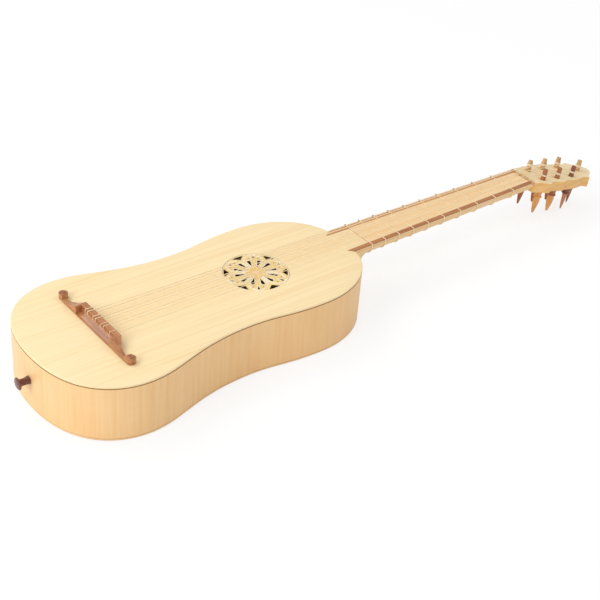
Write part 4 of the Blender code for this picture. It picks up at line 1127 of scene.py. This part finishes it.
def end_paths(number):
    """The two cut ends, leaning apart."""
    share = np.linspace(0.0, 1.0, END_STEPS)[:, None]
    starts = bass_edge(number) + END_STARTS
    return starts[:, None] + END_LENGTH * END_WAYS[:, None] * share


for number in range(1, FRET_COUNT + 1):
    mark = "_%02d" % number
    tied = "fret_body" + mark
    loop = from_nut(fret_path(number))[None]
    knot = from_nut(knot_paths(number))
    ends = from_nut(end_paths(number))
    wires_piece("tied_fret" + mark, loop, FRET_RADIUS, ALONG, tied, FRET_GUT, ["fret" + mark],
                closed=True)
    wires_piece("fret_knot" + mark, knot, KNOT_RADIUS, KNOT_STEADY, tied, SINGED, closed=True)
    wires_piece("fret_ends" + mark, ends, END_RADIUS, END_STEADY, tied, SINGED)
print("frets made:", FRET_COUNT)

# %% [markdown]
# ## Rose
#
# The rose is cut from thin pear wood with a knife. Its face is golden, with warm rays round a pinkish
# middle. The angle and the distance from the middle give the rays: the cosine of twelve times the angle
# is high on twelve spokes.

# %% Rose finishes
RAY_COUNT = 12.0
RAYS_INNER = 0.004
RAYS_OUTER = 0.016
PINK_INNER = 0.0012
PINK_OUTER = 0.0034


def make_rose_cream():
    """Cream pear wood of the raised lines."""
    finish, tree, shader = new_finish("rose_cream", roughness=0.55)
    grain = stretched_noise(tree, object_place(tree), (900.0, 300.0, 900.0), detail=3.0)
    tone = mixed(tree, grey_ramp(tree, grain, 0.3, 0.7), (0.990, 0.930, 0.740), (0.960, 0.850, 0.620))
    finish_off(tree, shader, tone, grain, strength=0.1, depth=0.0001)
    return finish


def make_rose_gold():
    """Golden face with warm rays and a pinkish middle; the cut walls get painted shade, near black."""
    finish, tree, shader = new_finish("rose_gold", roughness=0.6)
    centred = add_node(tree, "ShaderNodeMapping", [(object_place(tree), "Vector")],
                       Location=(0.0, -NUT_Y - ROSE_Y, 0.0)).outputs["Vector"]
    x = one_axis(tree, centred, "X")
    y = one_axis(tree, centred, "Y")
    angle = math_node(tree, "ARCTAN2", y, x)
    rays = math_node(tree, "COSINE", math_node(tree, "MULTIPLY", angle, RAY_COUNT))
    squares = [math_node(tree, "MULTIPLY", side, side) for side in (x, y)]
    distance = math_node(tree, "SQRT", math_node(tree, "ADD", *squares))
    fade = between(tree, distance, RAYS_OUTER, RAYS_INNER)
    warm = math_node(tree, "MULTIPLY", grey_ramp(tree, rays, 0.2, 0.8), fade)
    grain = stretched_noise(tree, centred, (700.0, 200.0, 700.0), detail=3.0)
    gold = mixed(tree, grey_ramp(tree, grain, 0.3, 0.7), (0.930, 0.720, 0.330), (0.830, 0.580, 0.220))
    tone = mixed(tree, warm, gold, (0.880, 0.480, 0.160))
    tone = mixed(tree, between(tree, distance, PINK_INNER, PINK_OUTER), (0.960, 0.660, 0.480), tone)
    # Painted shade: faces that do not look up, such as the walls of the cut openings, are painted near
    # black.
    look_up = one_axis(tree, add_node(tree, "ShaderNodeTexCoord").outputs["Normal"], "Z")
    tone = mixed(tree, grey_ramp(tree, look_up, 0.4, 0.8), (0.070, 0.035, 0.015), tone)
    finish_off(tree, shader, tone, grain, strength=0.15, depth=0.0001)
    return finish


ROSE_CREAM = make_rose_cream()
ROSE_GOLD = make_rose_gold()
print("rose finishes ready")

# %% [markdown]
# The solid already has the openings: twelve long lights in pairs, a short one over each pair, and
# three-cornered ones at the rim. What makes it look carved is the raised line round each light, long or
# short, and the pointed arches over each pair. These are wires that lie half sunk in the face, and
# their tops stay under the level of the soundboard. Small dark pricks sit in the corners of the arches.

# %% Rose lines
FOLD = 6
STEP = 360 / FOLD
BEAD = 0.00036
THIN_BEAD = 0.8 * BEAD
SLOT_BEAD = 0.85 * BEAD
# Of the long and the short lights: inner end and outer end from the rose's middle, and half the width.
LIGHT = (0.0080, 0.0222, 0.0019)
LIGHT_MARGIN = 0.00040
SLOT = (0.0235, 0.0305, 0.0013)
SLOT_MARGIN = 0.00036
RIM_LINE_INSIDE = 0.0008
RIM_LINE_STEPS = 96
# A drop's outline: how far its point lies inwards in margins, and where its flanks begin.
DROP_POINT = 2.2
DROP_SHOULDER = 0.3
FLANK_STEPS = 5
BOW_STEPS = 13
# An arch's flank from foot to point: distance from the rose's middle, and degrees beside the pair's.
ARCH_RADII = np.array([0.0105, 0.0150, 0.0200, 0.0238, 0.0268, 0.0292, 0.0312, 0.0328])
ARCH_DEGREES = np.array([27.5, 28.2, 27.6, 25.4, 20.6, 14.6, 8.2, 1.6])
ARCH_STEPS = 29
INNER_ARCH = 2.6
ARCH_INWARD = 0.026
ARCH_TAPER = 0.4
ARCH_TAPER_FROM = 0.02
ARCH_LOWER = 0.0003
middles = STEP * (np.arange(FOLD) + 0.5)
light_angles = np.concatenate([middles - STEP / 4, middles + STEP / 4])


def rose_points(radius, degrees):
    """Polar place on the rose's face, as an array of points."""
    turn = np.radians(degrees)
    flat = np.stack([radius * np.cos(turn), ROSE_Y + radius * np.sin(turn)], axis=-1)
    return from_nut(np.concatenate([flat, np.full(flat.shape[:-1] + (1,), ROSE_FACE_Z)], axis=-1))


def drop_lines(inner, outer, half, angles, margin):
    """Outlines a margin outside drop-shaped openings: a point inwards and half a circle outwards."""
    centre = outer - half
    wide = half + margin
    share = np.linspace(DROP_SHOULDER, 1.0, FLANK_STEPS)[:-1]
    flank = inner + share * (centre - inner)
    bow = np.linspace(-math.pi / 2, math.pi / 2, BOW_STEPS)
    r = np.concatenate([[inner - DROP_POINT * margin], flank, centre + wide * np.cos(bow), flank[::-1]])
    s = np.concatenate([[0.0], -wide * share, wide * np.sin(bow), wide * share[::-1]])
    turn = np.radians(np.asarray(angles))[:, None]
    x = r * np.cos(turn) - s * np.sin(turn)
    y = r * np.sin(turn) + s * np.cos(turn) + ROSE_Y
    return from_nut(np.stack([x, y, np.full_like(x, ROSE_FACE_Z)], axis=-1))


def arch_lines(shrink):
    """Pointed arches over each pair: both flanks run out between the pairs and lean in to the middle."""
    known = np.arange(len(ARCH_RADII))
    place = np.linspace(0, known[-1], ARCH_STEPS)
    r = np.interp(place, known, ARCH_RADII)
    inward = shrink * (ARCH_INWARD - ARCH_TAPER * (r - ARCH_TAPER_FROM)) / r
    a = np.interp(place, known, ARCH_DEGREES) - inward
    r = np.broadcast_to(r - shrink * ARCH_LOWER, (FOLD, ARCH_STEPS))
    return np.concatenate([rose_points(r, middles[:, None] + side * a) for side in (-1, 1)])


rim_turn = np.linspace(0, 360, RIM_LINE_STEPS + 1)[:-1]
rim = rose_points(np.full(RIM_LINE_STEPS, ROSE_RADIUS - RIM_LINE_INSIDE), rim_turn)[None]
for name, paths, radius, closed in (
    ("rose_light_lines", drop_lines(*LIGHT, light_angles, LIGHT_MARGIN), BEAD, True),
    ("rose_slot_lines", drop_lines(*SLOT, middles, SLOT_MARGIN), SLOT_BEAD, True),
    ("rose_arches", arch_lines(0.0), BEAD, False),
    ("rose_inner_arches", arch_lines(INNER_ARCH), THIN_BEAD, False),
    ("rose_rim_line", rim, BEAD, True),
):
    wires_piece(name, paths, radius, UP, BODY, ROSE_CREAM, closed=closed)
print("rose lines made")

# %% Rose pricks
PRICK_ANGLE = 10.5
PRICK_FROM_MIDDLE = 0.0262
PRICK_HALF = 0.00035
PRICK_RADIUS = 0.00030
PRICK_STEPS = 8
prick_angles = np.concatenate([middles - PRICK_ANGLE, middles + PRICK_ANGLE])
prick_centres = rose_points(np.full(2 * FOLD, PRICK_FROM_MIDDLE), prick_angles)
prick_turn = np.linspace(0.0, 2 * math.pi, PRICK_STEPS + 1)[:-1]
prick_ring = PRICK_HALF * np.stack([np.cos(prick_turn), np.sin(prick_turn), 0 * prick_turn], axis=-1)
wires_piece("rose_pricks", prick_centres[:, None] + prick_ring, PRICK_RADIUS, UP, BODY,
            SINGED, sides=6, closed=True)
print("rose finished")

# %% [markdown]
# ## Bridge
#
# The bridge solid already has its hollow back, its ledge, its holes and its long arms, so it stays and
# gets its plum finish. Each arm ends in a scroll. Its spiral is a wire whose distance from the middle
# shrinks evenly as it turns. It starts half sunk in the top of the scroll and rises a little towards
# its eye.

# %% Bridge scrolls
ARM_REACH = 0.0605
SCROLL_RADIUS = 0.0046
SCROLL_HEIGHT = 0.0056
BRIDGE_DEPTH = 0.0125
SPIRAL_STEPS = 60
SPIRAL_TURNS = 2.1
SPIRAL_START = 2.4
SPIRAL_INSIDE = 0.0006
SPIRAL_EYE = 0.0005
SPIRAL_RISE = 0.0006
SPIRAL_RADIUS = 0.00055


def spiral(side):
    """Distance from the middle falls evenly with the angle, over a little more than two turns."""
    t = np.linspace(0.0, 1.0, SPIRAL_STEPS)
    turn = t * SPIRAL_TURNS * 2 * math.pi + SPIRAL_START
    r = (SCROLL_RADIUS - SPIRAL_INSIDE) * (1 - t) + SPIRAL_EYE * t
    x = side * (ARM_REACH + r * np.cos(turn))
    y = -STRING_LENGTH - BRIDGE_DEPTH + SCROLL_RADIUS + r * np.sin(turn)
    z = TOP_Z + GAP + SCROLL_HEIGHT + SPIRAL_RISE * t
    return from_nut(np.column_stack([x, y, z]))


spirals = np.stack([spiral(-1), spiral(1)])
wires_piece("scroll_spirals", spirals, SPIRAL_RADIUS, UP, BODY, BRIDGE_PLUM)
print("scrolls made")

# %% [markdown]
# ## End pin
#
# The strap pin at the tail is turned like a spool: a domed head, a narrow waist and a flare against the
# ribs.

# %% End pin
PIN_OUT = 0.0130
PIN_FROM_TOP = 0.0295
PIN_SIDES = 36
# Radius, and distance inwards from the face of the pin's head.
PIN_PROFILE = np.array([
    (0.0012, 0.0), (0.0036, 0.0001), (0.0053, 0.0005), (0.0062, 0.0011), (0.0063, 0.0016),
    (0.0060, 0.0022), (0.0050, 0.0028), (0.0040, 0.0036), (0.0036, 0.0048), (0.0035, 0.0070),
    (0.0036, 0.0092), (0.0039, 0.0110), (0.0042, 0.0122), (0.0042, 0.0127), (0.0030, 0.0127),
    (0.0030, 0.0150), (0.0027, 0.0257),
])
pin_turn = np.arange(PIN_SIDES) * 2 * math.pi / PIN_SIDES
pin_x = PIN_PROFILE[:, :1] * np.cos(pin_turn)
pin_y = np.broadcast_to(TAIL_Y - PIN_OUT + PIN_PROFILE[:, 1:], pin_x.shape)
pin_z = TOP_Z - PIN_FROM_TOP + PIN_PROFILE[:, :1] * np.sin(pin_turn)
pin_grid = from_nut(np.stack([pin_x, pin_y, pin_z], axis=-1))
grid_piece("end_pin_turned", pin_grid, BODY, PIN_PLUM, ["end_pin"])
print("end pin made")

# %% [markdown]
# ## Finishes for the solids that stay
#
# The fingerboard, its edge strips, the rose's face, the bridge, the peg head and the nail keep their
# solids, and so does everything inside the body. Each gets the finish of its wood.

# %% Dress the solids
KEPT = {
    "fingerboard": FIELD_MAPLE, "edge_strip_treble": STRIP_PLUM, "edge_strip_bass": FAR_STRIP_SHEENED_PLUM,
    "bridge": BRIDGE_PLUM, "rosette": ROSE_GOLD, "peg_head": HEAD_MAPLE, "neck_nail": IRON,
}
for name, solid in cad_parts.items():
    if solid.hide_render:
        continue
    solid.data.materials.clear()
    solid.data.materials.append(KEPT.get(name, WILLOW))
print("solids dressed:", sum(not solid.hide_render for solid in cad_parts.values()))

# %% [markdown]
# ## Floor, light and camera
#
# The guitar lies on a plain white floor under soft daylight. The floor is made a little brighter for
# the camera alone, so the paper stays white while the guitar's own light stays plain. The camera stands
# where the photographer stood, to the treble side of the tail and above.

# %% Floor
PAPER = (0.93, 0.93, 0.93, 1.0)
WHITE = (1.0, 1.0, 1.0, 1.0)
GLOW = 1.05
GLOW_SHARE = 0.72
FLOOR_HALF = 9.0
FLOOR_DROP = 0.0004


def make_floor():
    """White paper that keeps a soft shadow."""
    finish = bpy.data.materials.new("white_paper")
    finish.use_nodes = True
    tree = finish.node_tree
    tree.nodes.clear()
    path = add_node(tree, "ShaderNodeLightPath")
    matt = add_node(tree, "ShaderNodeBsdfDiffuse", Color=PAPER)
    glow = add_node(tree, "ShaderNodeEmission", Color=WHITE, Strength=GLOW)
    share = math_node(tree, "MULTIPLY", path.outputs["Is Camera Ray"], GLOW_SHARE)
    blend = add_node(tree, "ShaderNodeMixShader", [(share, "Fac")])
    tree.links.new(matt.outputs["BSDF"], blend.inputs[1])
    tree.links.new(glow.outputs["Emission"], blend.inputs[2])
    out = add_node(tree, "ShaderNodeOutputMaterial", [(blend.outputs["Shader"], "Surface")])
    out.is_active_output = True
    mesh = bpy.data.meshes.new("paper_floor")
    sides = ((-1, -1), (1, -1), (1, 1), (-1, 1))
    corners = [(x * FLOOR_HALF, y * FLOOR_HALF, -FLOOR_DROP) for x, y in sides]
    mesh.from_pydata(corners, [], [(0, 1, 2, 3)])
    mesh.materials.append(finish)
    floor = bpy.data.objects.new("paper_floor", mesh)
    bpy.context.scene.collection.objects.link(floor)


make_floor()
print("floor laid")

# %% Light
SKY_STRENGTH = 0.54
# Of each window: name, place, the point that it faces, the length of its side, and watts.
WINDOWS = (
    ("window_left", (-1.2, -0.9, 1.8), (0.0, -0.1, 0.0), 1.4, 17.0),
    ("window_tail", (0.3, -2.2, 1.3), (0.0, -0.2, 0.0), 1.2, 22.0),
    ("window_head", (0.6, 1.1, 1.5), (0.0, 0.3, 0.0), 0.9, 5.5),
)
world = bpy.data.worlds.new("daylight")
bpy.context.scene.world = world
world.use_nodes = True
sky = world.node_tree.nodes["Background"]
sky.inputs["Color"].default_value = WHITE
sky.inputs["Strength"].default_value = SKY_STRENGTH


def soft_lamp(name, place, aim, size, power):
    """A square lamp that looks at a point."""
    data = bpy.data.lights.new(name, "AREA")
    data.shape = "SQUARE"
    data.size = size
    data.energy = power
    lamp = bpy.data.objects.new(name, data)
    lamp.location = place
    lamp.rotation_mode = "QUATERNION"
    lamp.rotation_quaternion = (Vector(aim) - Vector(place)).to_track_quat("-Z", "Y")
    bpy.context.scene.collection.objects.link(lamp)


for window in WINDOWS:
    soft_lamp(*window)
print("lamps hung")

# %% Camera
# The eye's place is measured from the nut at the level of the soundboard. Three directions, square to
# each other, turn the camera: where its right side, its top and its back point.
LENS = 83.437
SENSOR = 36.0
NEAREST = 0.05
FARTHEST = 30.0
TO_RIGHT = Vector((0.60893, 0.79028, 0.06836))
TO_TOP = Vector((-0.48205, 0.30022, 0.8231))
TO_BACK = Vector((0.62995, -0.53416, 0.56376))
camera_data = bpy.data.cameras.new("camera")
camera = bpy.data.objects.new("camera", camera_data)
bpy.context.scene.collection.objects.link(camera)
camera_data.lens = LENS
camera_data.sensor_width = SENSOR
camera_data.clip_start = NEAREST
camera_data.clip_end = FARTHEST
eye = Vector((0.912347, -1.088146 + NUT_Y, 0.760522 + TOP_Z))
turned_to = Matrix((TO_RIGHT, TO_TOP, TO_BACK)).transposed().to_4x4()
camera.matrix_world = Matrix.Translation(eye) @ turned_to
bpy.context.scene.camera = camera
bpy.context.scene.view_settings.view_transform = "Standard"
print("camera set")
